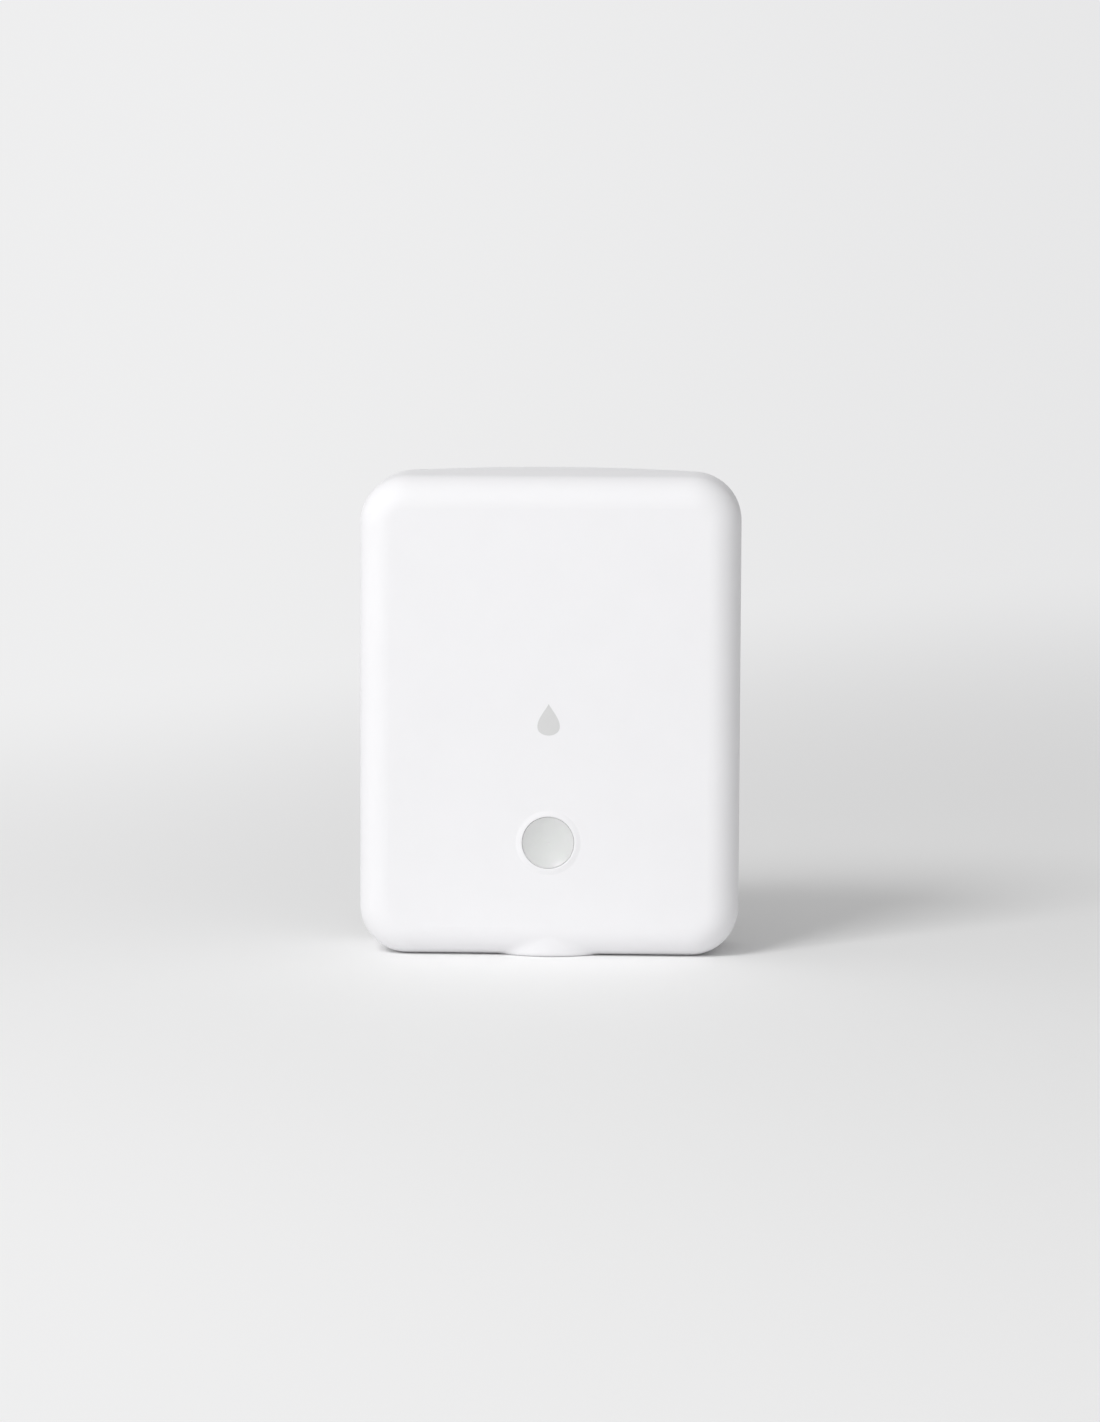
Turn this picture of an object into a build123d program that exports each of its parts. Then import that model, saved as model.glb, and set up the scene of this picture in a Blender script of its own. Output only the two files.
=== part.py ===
from build123d import *
import os

os.makedirs("parts", exist_ok=True)

# Battery water leak detector, in millimetres. It stands on its short lower end.
# X runs to the right, Y from front to back and Z up.
# The origin is under the middle of the whole object, at the height of the floor.
# Depths are measured back from the flat front face.

# Case
case_width = 68.0
case_height = 86.0
corner_radius = 8.75
front_edge_radius = 5.5
back_edge_radius = 2.5
front_rise = 0.02
back_rise = 0.8
back_drop = 0.6
flat_top_depth = 6.0
front_wall = 2.0
back_wall = 2.0
side_wall = 2.8
back_shell_depth = 6.0
seam = 0.2
fit_gap = 0.05
loose_gap = 0.15

# Swelled lower front edge
nose_setback = 0.9
nose_radius = 14.5
nose_flare = 0.16
nose_height = 5.0
nose_edge_round = 0.9
nose_blend = 3.0

# Seal between the two shells: a groove in the front one, a tongue on the back one
groove_inset = 0.8
groove_width = 1.2
groove_depth = 2.0
gasket_height = 1.0
tongue_gap = 0.1

# Case screws
screw_inset_x = 6.5
screw_inset_z = 8.5
screw_radius = 1.25
screw_length = 12.0
screw_head_radius = 2.4
screw_head_height = 1.6
screw_seat_wall = 1.8
screw_key = 1.6
screw_key_depth = 0.9
front_boss_radius = 3.2
back_boss_radius = 3.5
screw_hole_extra = 1.0

# Button
button_z = 20.8
button_radius = 4.6
button_gap = 0.05
button_recess = 0.12
dish_margin = 0.1
dish_depth = 1.0
flange_gap = 0.1
flange_width = 1.45
flange_thickness = 0.8
stem_radius = 2.5
stem_height = 0.3
button_travel = 0.33
rim_crest = 0.35
rim_slope = 0.8
rim_height = 0.17
rim_round = 1.0
rim_inner_round = 0.15
button_seal_width = 1.0
button_seal_height = 0.8

# Tactile switch under the button
plunger_gap = 0.1
plunger_radius = 1.75
plunger_rise = 0.9
plunger_stem = 0.8
pressed_gap = 0.02
switch_size = 6.0
switch_height = 2.0
switch_frame_thickness = 0.2
dome_radius = 1.7
dome_thickness = 0.1
dome_gap = 0.03

# Lamps beside the switch
lamp_width = 2.8
lamp_length = 3.2
lamp_height = 1.6
lamp_gap = 0.8
lamp_dish_radius = 1.1
lamp_dish_depth = 0.4

# Circuit board
board_thickness = 1.6
board_side_gap = 2.2
board_boss_gap = 0.8
tongue_half_width = 8.0
tongue_lift = 0.3
board_to_tub = 0.3

# Battery cells and their tub
cell_radius = 5.25
cell_length = 44.5
cell_round = 0.5
nub_radius = 1.9
nub_height = 0.8
cell_spacing = 0.4
cell_side_gap = 0.3
cell_floor_gap = 0.15
spring_room = 5.9
plate_thickness = 0.3
tub_bottom = 24.5
tub_wall = 1.0
tub_floor = 1.0
tub_corner = 1.0

# Contacts
contact_width = 8.4
contact_leg_width = 4.0
spring_wire = 0.5
spring_radius = 2.7
spring_turns = 4

# Battery door
door_thickness = 1.7
door_margin = 3.5
door_corner = 2.5
door_gap = 0.2
ledge_width = 1.0
ledge_thickness = 1.4
door_gasket_height = 0.6
door_gasket_width = 1.8
door_gasket_inset = 0.9
door_pad_thickness = 0.25
door_pad_width = 15.0
door_pad_length = 30.0
skirt_wall = 0.9
skirt_depth = 1.9
cell_to_door = 0.35
thumb_radius = 6.0
thumb_depth = 1.1
thumb_reach = 1.5
grip_count = 3
grip_pitch = 1.8
grip_width = 0.8
grip_length = 12.0
grip_depth = 0.4
grip_inset = 3.4

# Water probes
probe_inset_x = 8.0
probe_bottom = 20.0
probe_top_inset = 20.0
probe_height = 0.8
probe_head_radius = 2.6
probe_head_round = 0.6
probe_shank_radius = 1.25
probe_shank_length = 10.0
probe_seal_width = 0.75
probe_seal_height = 0.8
standoff_radius = 2.9
board_screw_radius = 1.0
board_screw_length = 4.6
board_screw_head_radius = 1.9
board_screw_head_height = 1.2
board_screw_key = 1.3
board_screw_key_depth = 0.7

# Socket for a sensing lead, in the lower end
jack_bore_radius = 1.8
jack_bore_depth = 14.0
jack_mouth_inset = 0.5
jack_bush_radius = 2.5
jack_bush_seat = 2.0
jack_width = 6.0
jack_thickness = 5.0
jack_end_wall = 1.2
port_gap = 0.15
port_recess_width = 0.7
port_recess_depth = 0.6
port_seal_height = 1.0
port_seal_width = 1.3
jack_leg_thickness = 0.2
jack_leg_width = 1.4
jack_leg_foot = 1.2
jack_leg_rise = 2.2

# Sounder on the back of the board
sounder_z = 48.0
sounder_radius = 6.0
sounder_height = 9.5
sounder_wall = 0.8
sounder_base_height = 1.2
sounder_mouth_radius = 1.25
sounder_to_ledge = 1.6
coil_radius = 3.6
coil_core_radius = 1.4
coil_height = 4.6
diaphragm_radius = 4.9
diaphragm_thickness = 0.15
diaphragm_lift = 1.6
diaphragm_ledge = 0.6
sound_gasket_height = 1.0
sound_tube_wall = 1.2
sound_tube_radius = 4.8
sound_hole_radius = 0.6
sound_hole_circle = 2.4
sound_hole_count = 6
membrane_radius = 4.2
membrane_thickness = 0.2

# Parts on the front of the board
radio_z = 57.0
radio_width = 18.0
radio_length = 25.4
radio_board_thickness = 0.8
shield_width = 15.8
shield_length = 17.6
shield_height = 2.0
shield_wall = 0.3
shield_drop = 2.9
chip_size = 7.0
chip_height = 0.9
chip_place = (-17.0, 36.0)
crystal_width = 3.2
crystal_length = 2.5
crystal_height = 0.8
crystal_place = (-17.0, 43.0)
capacitor_length = 2.0
capacitor_width = 1.25
capacitor_height = 1.0
capacitor_row = (17.0, 34.0)
capacitor_pitch = 3.2
capacitor_count = 4
resistor_length = 1.6
resistor_width = 0.8
resistor_height = 0.45
resistor_row = (22.0, 34.0)
resistor_pitch = 2.4
resistor_count = 6
sensor_size = 2.0
sensor_height = 0.8
sensor_place = (0.0, 30.5)

# Bulk capacitor on the back of the board
bulk_radius = 3.15
bulk_height = 7.7
bulk_base = 6.6
bulk_base_height = 0.8
bulk_z = 48.0
bulk_gap = 6.0

# Depths of the stack inside, which give the case its depth
flange_front = front_wall + flange_gap
flange_back = flange_front + flange_thickness
button_back = flange_back + stem_height
plunger_front = button_back + plunger_gap
frame_front = plunger_front + plunger_rise
switch_front = frame_front + switch_frame_thickness
board_front = switch_front + switch_height
board_back = board_front + board_thickness
tub_front = board_back + board_to_tub
tub_floor_back = tub_front + tub_floor
cell_depth = tub_floor_back + cell_floor_gap + cell_radius
door_front = cell_depth + cell_radius + cell_to_door
case_depth = door_front + door_thickness
back_inner = case_depth - back_wall
parting = case_depth - back_shell_depth
back_rim = parting + seam

# The pip goes down with the button, once the gap over it is taken up
plunger_travel = button_travel - plunger_gap + pressed_gap

# Places worked out from the sizes
front_y = (rim_height - case_depth - probe_height) / 2
half_width = case_width / 2
screw_places = [
    (side * (half_width - screw_inset_x), z)
    for side in (-1, 1)
    for z in (screw_inset_z, case_height - screw_inset_z)
]
probe_places = [
    (side * (half_width - probe_inset_x), z)
    for side in (-1, 1)
    for z in (probe_bottom, case_height - probe_top_inset)
]
cell_x = cell_radius + cell_spacing / 2
tub_half_width = cell_x + cell_radius + cell_side_gap
tub_length = cell_length + spring_room + 2 * (plate_thickness + fit_gap)
tub_top = tub_bottom + tub_length
tub_z = tub_bottom + tub_length / 2
door_half_width = tub_half_width + door_margin
board_end_inset = screw_inset_z + front_boss_radius + board_boss_gap
recess_floor = door_front - door_gasket_height - 2 * fit_gap
ledge_front = recess_floor - ledge_thickness
sounder_back = board_back + sounder_height
sounder_x = door_half_width + ledge_width + sounder_to_ledge + sounder_radius - sound_tube_wall
bulk_x = -(tub_half_width + tub_wall + bulk_gap + bulk_radius)
contact_height = 2 * (door_front - skirt_depth - door_gap - cell_depth)
jack_depth = board_back + jack_thickness / 2
jack_bottom = side_wall + port_seal_height + 2 * fit_gap
jack_top = jack_mouth_inset + jack_bore_depth + jack_end_wall
tongue_bottom = jack_bottom + tongue_lift
dish_radius = button_radius - dish_margin
flange_radius = button_radius + flange_width
bore_radius = button_radius + button_gap
crest_radius = bore_radius + rim_crest
button_face = button_recess - rim_height
seal_outer = button_radius + fit_gap + button_seal_width
lamp_x = switch_size / 2 + lamp_gap + lamp_width / 2


def y_at(depth):
    """Y of a depth behind the front face."""
    return front_y + depth


def behind(depth):
    """Plane at a depth behind the front face. It faces forwards, its x is X and its y is Z."""
    return Plane(origin=(0, y_at(depth), 0), x_dir=(1, 0, 0), z_dir=(0, -1, 0))


def case_outline(inset, mode=Mode.ADD):
    """Outline of the case in the open sketch, moved inwards by inset."""
    with Locations((0, case_height / 2)):
        RectangleRounded(
            case_width - 2 * inset, case_height - 2 * inset, corner_radius - inset, mode=mode
        )


def case_section(depth, rise, drop):
    """Section of the case at a depth: its top edge bows up by rise in the middle, less drop at the sides."""
    shoulder = case_height - drop
    with BuildSketch(behind(depth)) as section:
        with BuildLine():
            Polyline((-half_width, shoulder), (-half_width, 0), (half_width, 0), (half_width, shoulder))
            ThreePointArc((half_width, shoulder), (0, case_height + rise), (-half_width, shoulder))
        make_face()
        fillet(section.vertices(), corner_radius)
    return section.sketch


def tub_outline(margin, corner, mode=Mode.ADD):
    """Outline of the battery tub in the open sketch, moved outwards by margin."""
    with Locations((0, tub_z)):
        RectangleRounded(
            2 * (tub_half_width + margin), tub_length + 2 * margin, corner, mode=mode
        )


def circles(places, radius, mode=Mode.ADD):
    """A circle at each place in the open sketch."""
    with Locations(*places):
        Circle(radius, mode=mode)


# Whole outer form, cut into the two shells below. Its top is flat at the front and bowed at the back.
with BuildPart() as case:
    loft(
        sections=[
            case_section(case_depth, back_rise, back_drop),
            case_section(flat_top_depth, front_rise, 0),
            case_section(0, front_rise, 0),
        ],
        ruled=True,
    )
    fillet(case.edges().group_by(Axis.Y)[0], front_edge_radius)
    fillet(case.edges().group_by(Axis.Y)[-1], back_edge_radius)

# Hollow of the front shell
with BuildPart() as front_room:
    with BuildSketch(behind(parting)):
        case_outline(side_wall)
    extrude(amount=parting - front_wall)
    fillet(front_room.edges().group_by(Axis.Y)[0], front_edge_radius - front_wall)

# Nose that swells out of the lower front edge
with BuildPart() as nose:
    with Locations((0, y_at(nose_setback + nose_radius), 0)):
        Cone(
            nose_radius,
            nose_radius + nose_flare * nose_height,
            nose_height,
            arc_size=180,
            rotation=(0, 0, 180),
            align=None,
        )
    fillet(nose.edges().group_by(Axis.Z)[0].filter_by(GeomType.CIRCLE), nose_edge_round)

# Low rim round the button: a flat crest that slopes gently down to the front
with BuildPart() as rim:
    with BuildSketch(Plane.XY.offset(button_z)):
        with BuildLine():
            Polyline(
                (0, y_at(front_wall / 2)),
                (crest_radius + rim_slope, y_at(front_wall / 2)),
                (crest_radius + rim_slope, y_at(0)),
                (crest_radius, y_at(-rim_height)),
                (0, y_at(-rim_height)),
                close=True,
            )
        make_face()
    revolve(axis=Axis((0, 0, button_z), (0, 1, 0)))
    fillet(rim.edges().group_by(Axis.Y)[0], rim_round)

# Front cover
with BuildPart() as front_cover:
    add(case.part)
    split(bisect_by=behind(parting), keep=Keep.TOP)
    add(nose.part)
    fillet(front_cover.edges(Select.NEW).filter_by(GeomType.BSPLINE), nose_blend)
    add(front_room.part, mode=Mode.SUBTRACT)
    add(rim.part)
    # Bore for the button and the pocket for its seal
    with BuildSketch(behind(front_wall)):
        circles([(0, button_z)], bore_radius)
    extrude(amount=front_wall + rim_height, mode=Mode.SUBTRACT)
    fillet(front_cover.edges().group_by(Axis.Y)[0].sort_by(SortBy.RADIUS)[0], rim_inner_round)
    with BuildSketch(behind(front_wall)):
        circles([(0, button_z)], seal_outer + fit_gap)
    extrude(amount=button_seal_height + fit_gap, mode=Mode.SUBTRACT)
    # Screw bosses and their holes
    with BuildSketch(behind(parting)):
        circles(screw_places, front_boss_radius)
    extrude(amount=parting - front_wall)
    with BuildSketch(behind(parting)):
        circles(screw_places, screw_radius + fit_gap)
    extrude(amount=screw_length - screw_seat_wall - seam + screw_hole_extra, mode=Mode.SUBTRACT)
    # Groove for the case gasket
    with BuildSketch(behind(parting)):
        case_outline(groove_inset)
        case_outline(groove_inset + groove_width, mode=Mode.SUBTRACT)
    extrude(amount=groove_depth, mode=Mode.SUBTRACT)
    # Port for the sensing lead
    with Locations(Plane(origin=(0, y_at(jack_depth), 0), z_dir=(0, 0, -1))):
        CounterBoreHole(
            jack_bush_radius + port_gap,
            jack_bush_radius + port_gap + port_recess_width,
            port_recess_depth,
            depth=side_wall,
        )
front_cover.part.label = "front_cover"
export_step(front_cover.part, "parts/front_cover.step")

# Back shell with the battery tub
with BuildPart() as back_shell:
    add(case.part)
    split(bisect_by=behind(back_rim), keep=Keep.BOTTOM)
    with BuildSketch(behind(back_inner)):
        case_outline(side_wall)
    extrude(amount=back_inner - back_rim, mode=Mode.SUBTRACT)
    # Tongue that closes the gasket groove
    with BuildSketch(behind(back_rim)):
        case_outline(groove_inset + tongue_gap)
        case_outline(groove_inset + groove_width - tongue_gap, mode=Mode.SUBTRACT)
    extrude(amount=seam + groove_depth - gasket_height - fit_gap)
    # Screw bosses, the ledge round the door, the tub and the sound tube
    with BuildSketch(behind(back_inner)):
        circles(screw_places, back_boss_radius)
    extrude(amount=back_inner - back_rim)
    with BuildSketch(behind(back_inner)):
        tub_outline(door_margin + door_gap + ledge_width, door_corner)
    extrude(amount=back_inner - ledge_front)
    with BuildSketch(behind(back_inner)):
        tub_outline(tub_wall, tub_corner + tub_wall)
    extrude(amount=back_inner - tub_front)
    with BuildSketch(behind(back_inner)):
        circles([(sounder_x, sounder_z)], sound_tube_radius + sound_tube_wall)
    extrude(amount=back_inner - sounder_back - sound_gasket_height - 2 * fit_gap)
    # Inside of the tub, of the sound tube and of the door recess
    with BuildSketch(behind(case_depth)):
        tub_outline(0, tub_corner)
    extrude(amount=case_depth - tub_floor_back, mode=Mode.SUBTRACT)
    with BuildSketch(behind(case_depth)):
        tub_outline(door_margin + door_gap, door_corner + door_gap)
    extrude(amount=case_depth - recess_floor, mode=Mode.SUBTRACT)
    with BuildSketch(behind(back_inner)):
        circles([(sounder_x, sounder_z)], sound_tube_radius)
    extrude(amount=back_inner - sounder_back, mode=Mode.SUBTRACT)
    # Sound holes
    with BuildSketch(behind(case_depth)):
        with Locations((sounder_x, sounder_z)):
            Circle(sound_hole_radius)
            with PolarLocations(sound_hole_circle, sound_hole_count):
                Circle(sound_hole_radius)
    extrude(amount=back_wall, mode=Mode.SUBTRACT)
    # Screw holes, sunk below the back
    with BuildSketch(behind(case_depth)):
        circles(screw_places, screw_head_radius + loose_gap)
    extrude(amount=case_depth - back_rim - screw_seat_wall, mode=Mode.SUBTRACT)
    with BuildSketch(behind(case_depth)):
        circles(screw_places, screw_radius + loose_gap)
    extrude(amount=case_depth - back_rim, mode=Mode.SUBTRACT)
    # Probe holes and the pockets for their seals
    with BuildSketch(behind(case_depth)):
        circles(probe_places, probe_shank_radius + fit_gap)
    extrude(amount=back_wall, mode=Mode.SUBTRACT)
    with BuildSketch(behind(case_depth)):
        circles(probe_places, probe_shank_radius + probe_seal_width + 2 * fit_gap)
    extrude(amount=probe_seal_height + fit_gap, mode=Mode.SUBTRACT)
    # Slots in the tub floor for the legs of the two contacts
    with BuildSketch(behind(tub_floor_back)):
        with Locations((-cell_x, tub_bottom), (cell_x, tub_bottom)):
            Rectangle(
                contact_leg_width + 2 * loose_gap,
                plate_thickness + loose_gap,
                align=(Align.CENTER, Align.MIN),
            )
    extrude(amount=tub_floor, mode=Mode.SUBTRACT)
    # Thumb scoop below the door
    with BuildSketch(behind(case_depth)):
        circles([(0, tub_bottom - door_margin - door_gap + thumb_reach)], thumb_radius)
        tub_outline(door_margin + door_gap, door_corner + door_gap, mode=Mode.SUBTRACT)
    extrude(amount=thumb_depth, mode=Mode.SUBTRACT)
back_shell.part.label = "back_shell"
export_step(back_shell.part, "parts/back_shell.step")

# Gasket between the shells
with BuildPart() as case_gasket:
    with BuildSketch(behind(parting - groove_depth + gasket_height)):
        case_outline(groove_inset + fit_gap)
        case_outline(groove_inset + groove_width - fit_gap, mode=Mode.SUBTRACT)
    extrude(amount=gasket_height)
case_gasket.part.label = "case_gasket"
export_step(case_gasket.part, "parts/case_gasket.step")

# Case screws, driven forwards from the back
screw_seat = back_rim + screw_seat_wall
with BuildPart() as case_screws:
    with BuildSketch(behind(screw_seat + screw_head_height)):
        circles(screw_places, screw_head_radius)
    extrude(amount=screw_head_height)
    fillet(case_screws.edges().group_by(Axis.Y)[-1], screw_head_height / 4)
    with BuildSketch(behind(screw_seat)):
        circles(screw_places, screw_radius)
    extrude(amount=screw_length)
    chamfer(case_screws.edges().group_by(Axis.Y)[0], screw_radius / 2)
    with BuildSketch(behind(screw_seat + screw_head_height)):
        with Locations(*screw_places):
            RegularPolygon(screw_key, 6)
    extrude(amount=screw_key_depth, mode=Mode.SUBTRACT)
case_screws.part.label = "case_screws"
export_step(case_screws.part, "parts/case_screws.step")

# Battery door: a plate with a skirt that plugs into the tub
with BuildPart() as battery_door:
    with BuildSketch(behind(case_depth)):
        tub_outline(door_margin, door_corner)
    extrude(amount=door_thickness)
    chamfer(battery_door.edges().group_by(Axis.Y)[-1], door_gap)
    with BuildSketch(behind(door_front)):
        tub_outline(-loose_gap, tub_corner)
        tub_outline(-loose_gap - skirt_wall, tub_corner, mode=Mode.SUBTRACT)
    extrude(amount=skirt_depth)
    with BuildSketch(behind(case_depth)):
        with Locations((0, tub_bottom - door_margin + grip_inset)):
            with GridLocations(1, grip_pitch, 1, grip_count):
                SlotOverall(grip_length, grip_width)
    extrude(amount=grip_depth, mode=Mode.SUBTRACT)
battery_door.part.label = "battery_door"
export_step(battery_door.part, "parts/battery_door.step")

# Flat seal under the door
with BuildPart() as door_gasket:
    with BuildSketch(behind(door_front - fit_gap)):
        tub_outline(door_gasket_inset + door_gasket_width, door_corner)
        tub_outline(door_gasket_inset, tub_corner, mode=Mode.SUBTRACT)
    extrude(amount=door_gasket_height)
door_gasket.part.label = "door_gasket"
export_step(door_gasket.part, "parts/door_gasket.step")

# Foam strip that steadies the cells
with BuildPart() as door_pad:
    with BuildSketch(behind(door_front)):
        with Locations((0, tub_z)):
            RectangleRounded(door_pad_width, door_pad_length, door_corner)
    extrude(amount=door_pad_thickness)
door_pad.part.label = "door_pad"
export_step(door_pad.part, "parts/door_pad.step")


# Battery cells, one each way up, because they are in series
cell_y = y_at(cell_depth)
can_length = cell_length - nub_height
left_cell_bottom = tub_top - plate_thickness - fit_gap - cell_length
right_cell_bottom = tub_bottom + plate_thickness + fit_gap
with BuildPart() as battery_left:
    with BuildSketch(Plane.XY.offset(left_cell_bottom)):
        circles([(-cell_x, cell_y)], cell_radius)
    extrude(amount=can_length)
    fillet(battery_left.edges().filter_by(GeomType.CIRCLE), cell_round)
    with BuildSketch(Plane.XY.offset(left_cell_bottom + can_length)):
        circles([(-cell_x, cell_y)], nub_radius)
    extrude(amount=nub_height)
battery_left.part.label = "battery_left"
export_step(battery_left.part, "parts/battery_left.step")

with BuildPart() as battery_right:
    with BuildSketch(Plane.XY.offset(right_cell_bottom + nub_height)):
        circles([(cell_x, cell_y)], cell_radius)
    extrude(amount=can_length)
    fillet(battery_right.edges().filter_by(GeomType.CIRCLE), cell_round)
    with BuildSketch(Plane.XY.offset(right_cell_bottom)):
        circles([(cell_x, cell_y)], nub_radius)
    extrude(amount=nub_height)
battery_right.part.label = "battery_right"
export_step(battery_right.part, "parts/battery_right.step")


def contact_outline(x):
    """Contact plate at a cell's axis in the open sketch, with its leg forwards to the board."""
    with Locations((x, cell_y)):
        Rectangle(contact_width, contact_height)
    with Locations((x, y_at(board_back))):
        Rectangle(contact_leg_width, cell_depth - board_back, align=(Align.CENTER, Align.MIN))


# Contacts: one plate each at the lower end, and one across both cells at the upper end
with BuildPart() as negative_contact:
    with BuildSketch(Plane.XY.offset(tub_bottom)):
        contact_outline(-cell_x)
    extrude(amount=plate_thickness)
negative_contact.part.label = "negative_contact"
export_step(negative_contact.part, "parts/negative_contact.step")

with BuildPart() as positive_contact:
    with BuildSketch(Plane.XY.offset(tub_bottom)):
        contact_outline(cell_x)
    extrude(amount=plate_thickness)
positive_contact.part.label = "positive_contact"
export_step(positive_contact.part, "parts/positive_contact.step")

with BuildPart() as bridge_contact:
    with BuildSketch(Plane.XY.offset(tub_top - plate_thickness)):
        with Locations((0, cell_y)):
            Rectangle(2 * cell_x + contact_width, contact_height)
    extrude(amount=plate_thickness)
bridge_contact.part.label = "bridge_contact"
export_step(bridge_contact.part, "parts/bridge_contact.step")

# Coil springs at the minus ends: one under the left cell and one over the right cell
spring_height = spring_room - spring_wire - 2 * fit_gap
spring_starts = [
    (-cell_x, tub_bottom + plate_thickness + fit_gap + spring_wire / 2),
    (cell_x, right_cell_bottom + cell_length + fit_gap + spring_wire / 2),
]
with BuildPart() as contact_springs:
    for x, bottom in spring_starts:
        with BuildLine() as coil:
            Helix(
                spring_height / spring_turns,
                spring_height,
                spring_radius,
                center=(x, cell_y, bottom),
            )
        with BuildSketch(Plane(origin=coil.line @ 0, z_dir=coil.line % 0)):
            Circle(spring_wire / 2)
        sweep(path=coil.line, is_frenet=True)
contact_springs.part.label = "contact_springs"
export_step(contact_springs.part, "parts/contact_springs.step")

# Button: dished lens, flange behind the wall and a short stem over the switch
with BuildPart() as button:
    with BuildSketch(Plane.XY.offset(button_z)):
        with BuildLine():
            TangentArc(
                (0, y_at(button_face + dish_depth)),
                (dish_radius, y_at(button_face)),
                tangent=(1, 0),
            )
            Polyline(
                (dish_radius, y_at(button_face)),
                (button_radius, y_at(button_face)),
                (button_radius, y_at(flange_front)),
                (flange_radius, y_at(flange_front)),
                (flange_radius, y_at(flange_back)),
                (stem_radius, y_at(flange_back)),
                (stem_radius, y_at(button_back)),
                (0, y_at(button_back)),
                (0, y_at(button_face + dish_depth)),
            )
        make_face()
    revolve(axis=Axis((0, 0, button_z), (0, 1, 0)))
button.part.label = "button"
export_step(button.part, "parts/button.step")

# Seal round the button
with BuildPart() as button_seal:
    with BuildSketch(behind(front_wall)):
        circles([(0, button_z)], seal_outer)
        circles([(0, button_z)], button_radius + fit_gap, mode=Mode.SUBTRACT)
    extrude(amount=button_seal_height)
button_seal.part.label = "button_seal"
export_step(button_seal.part, "parts/button_seal.step")

# Tactile switch
plunger_back = switch_front + plunger_stem
dome_back = plunger_back + plunger_travel + dome_gap + dome_thickness
with BuildPart() as switch_body:
    with BuildSketch(behind(board_front)):
        with Locations((0, button_z)):
            Rectangle(switch_size, switch_size)
    extrude(amount=switch_height)
    chamfer(switch_body.edges().filter_by(Axis.Y), switch_frame_thickness)
    with BuildSketch(behind(dome_back)):
        circles([(0, button_z)], plunger_radius + fit_gap)
    extrude(amount=dome_back - switch_front, mode=Mode.SUBTRACT)
switch_body.part.label = "switch_body"
export_step(switch_body.part, "parts/switch_body.step")

with BuildPart() as switch_frame:
    with BuildSketch(behind(switch_front)):
        with Locations((0, button_z)):
            Rectangle(switch_size, switch_size)
        circles([(0, button_z)], plunger_radius + fit_gap, mode=Mode.SUBTRACT)
    extrude(amount=switch_frame_thickness)
switch_frame.part.label = "switch_frame"
export_step(switch_frame.part, "parts/switch_frame.step")

with BuildPart() as switch_plunger:
    with BuildSketch(behind(plunger_back)):
        circles([(0, button_z)], plunger_radius)
    extrude(amount=plunger_back - plunger_front)
    chamfer(switch_plunger.edges().group_by(Axis.Y)[0], plunger_gap)
switch_plunger.part.label = "switch_plunger"
export_step(switch_plunger.part, "parts/switch_plunger.step")

with BuildPart() as switch_dome:
    with BuildSketch(behind(dome_back)):
        circles([(0, button_z)], dome_radius)
    extrude(amount=dome_thickness)
switch_dome.part.label = "switch_dome"
export_step(switch_dome.part, "parts/switch_dome.step")

# Lamps that shine through the lens
lamp_places = [(-lamp_x, button_z), (lamp_x, button_z)]
with BuildPart() as status_leds:
    with BuildSketch(behind(board_front)):
        with Locations(*lamp_places):
            Rectangle(lamp_width, lamp_length)
    extrude(amount=lamp_height)
    with BuildSketch(behind(board_front - lamp_height + lamp_dish_depth)):
        circles(lamp_places, lamp_dish_radius)
    extrude(amount=lamp_dish_depth, mode=Mode.SUBTRACT)
status_leds.part.label = "status_leds"
export_step(status_leds.part, "parts/status_leds.step")

# Circuit board, with a tongue down to the socket
board_half_width = half_width - side_wall - board_side_gap
with BuildPart() as circuit_board:
    with BuildSketch(behind(board_back)):
        with Locations((0, board_end_inset)):
            Rectangle(
                2 * board_half_width,
                case_height - 2 * board_end_inset,
                align=(Align.CENTER, Align.MIN),
            )
        with Locations((0, tongue_bottom)):
            Rectangle(
                2 * tongue_half_width,
                board_end_inset - tongue_bottom,
                align=(Align.CENTER, Align.MIN),
            )
        circles(probe_places, board_screw_radius + loose_gap, mode=Mode.SUBTRACT)
    extrude(amount=board_thickness)
circuit_board.part.label = "circuit_board"
export_step(circuit_board.part, "parts/circuit_board.step")

# Probe studs: domed heads on the back, shanks into the standoffs
with BuildPart() as probe_studs:
    with BuildSketch(behind(case_depth + probe_height)):
        circles(probe_places, probe_head_radius)
    extrude(amount=probe_height)
    fillet(probe_studs.edges().group_by(Axis.Y)[-1], probe_head_round)
    with BuildSketch(behind(case_depth)):
        circles(probe_places, probe_shank_radius)
    extrude(amount=probe_shank_length)
probe_studs.part.label = "probe_studs"
export_step(probe_studs.part, "parts/probe_studs.step")

with BuildPart() as probe_seals:
    with BuildSketch(behind(case_depth)):
        with Locations(*probe_places):
            Circle(probe_shank_radius + probe_seal_width + fit_gap)
            Circle(probe_shank_radius + fit_gap, mode=Mode.SUBTRACT)
    extrude(amount=probe_seal_height)
probe_seals.part.label = "probe_seals"
export_step(probe_seals.part, "parts/probe_seals.step")

# Standoffs from the back wall to the board, tapped from both ends
with BuildPart() as probe_standoffs:
    with BuildSketch(behind(back_inner)):
        with Locations(*probe_places):
            RegularPolygon(standoff_radius, 6)
    extrude(amount=back_inner - board_back)
    with BuildSketch(behind(back_inner)):
        circles(probe_places, probe_shank_radius + fit_gap)
    extrude(amount=probe_shank_length - back_wall + fit_gap, mode=Mode.SUBTRACT)
    with BuildSketch(behind(board_back + board_screw_length - board_thickness + fit_gap)):
        circles(probe_places, board_screw_radius + fit_gap)
    extrude(amount=board_screw_length - board_thickness + fit_gap, mode=Mode.SUBTRACT)
probe_standoffs.part.label = "probe_standoffs"
export_step(probe_standoffs.part, "parts/probe_standoffs.step")

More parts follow.
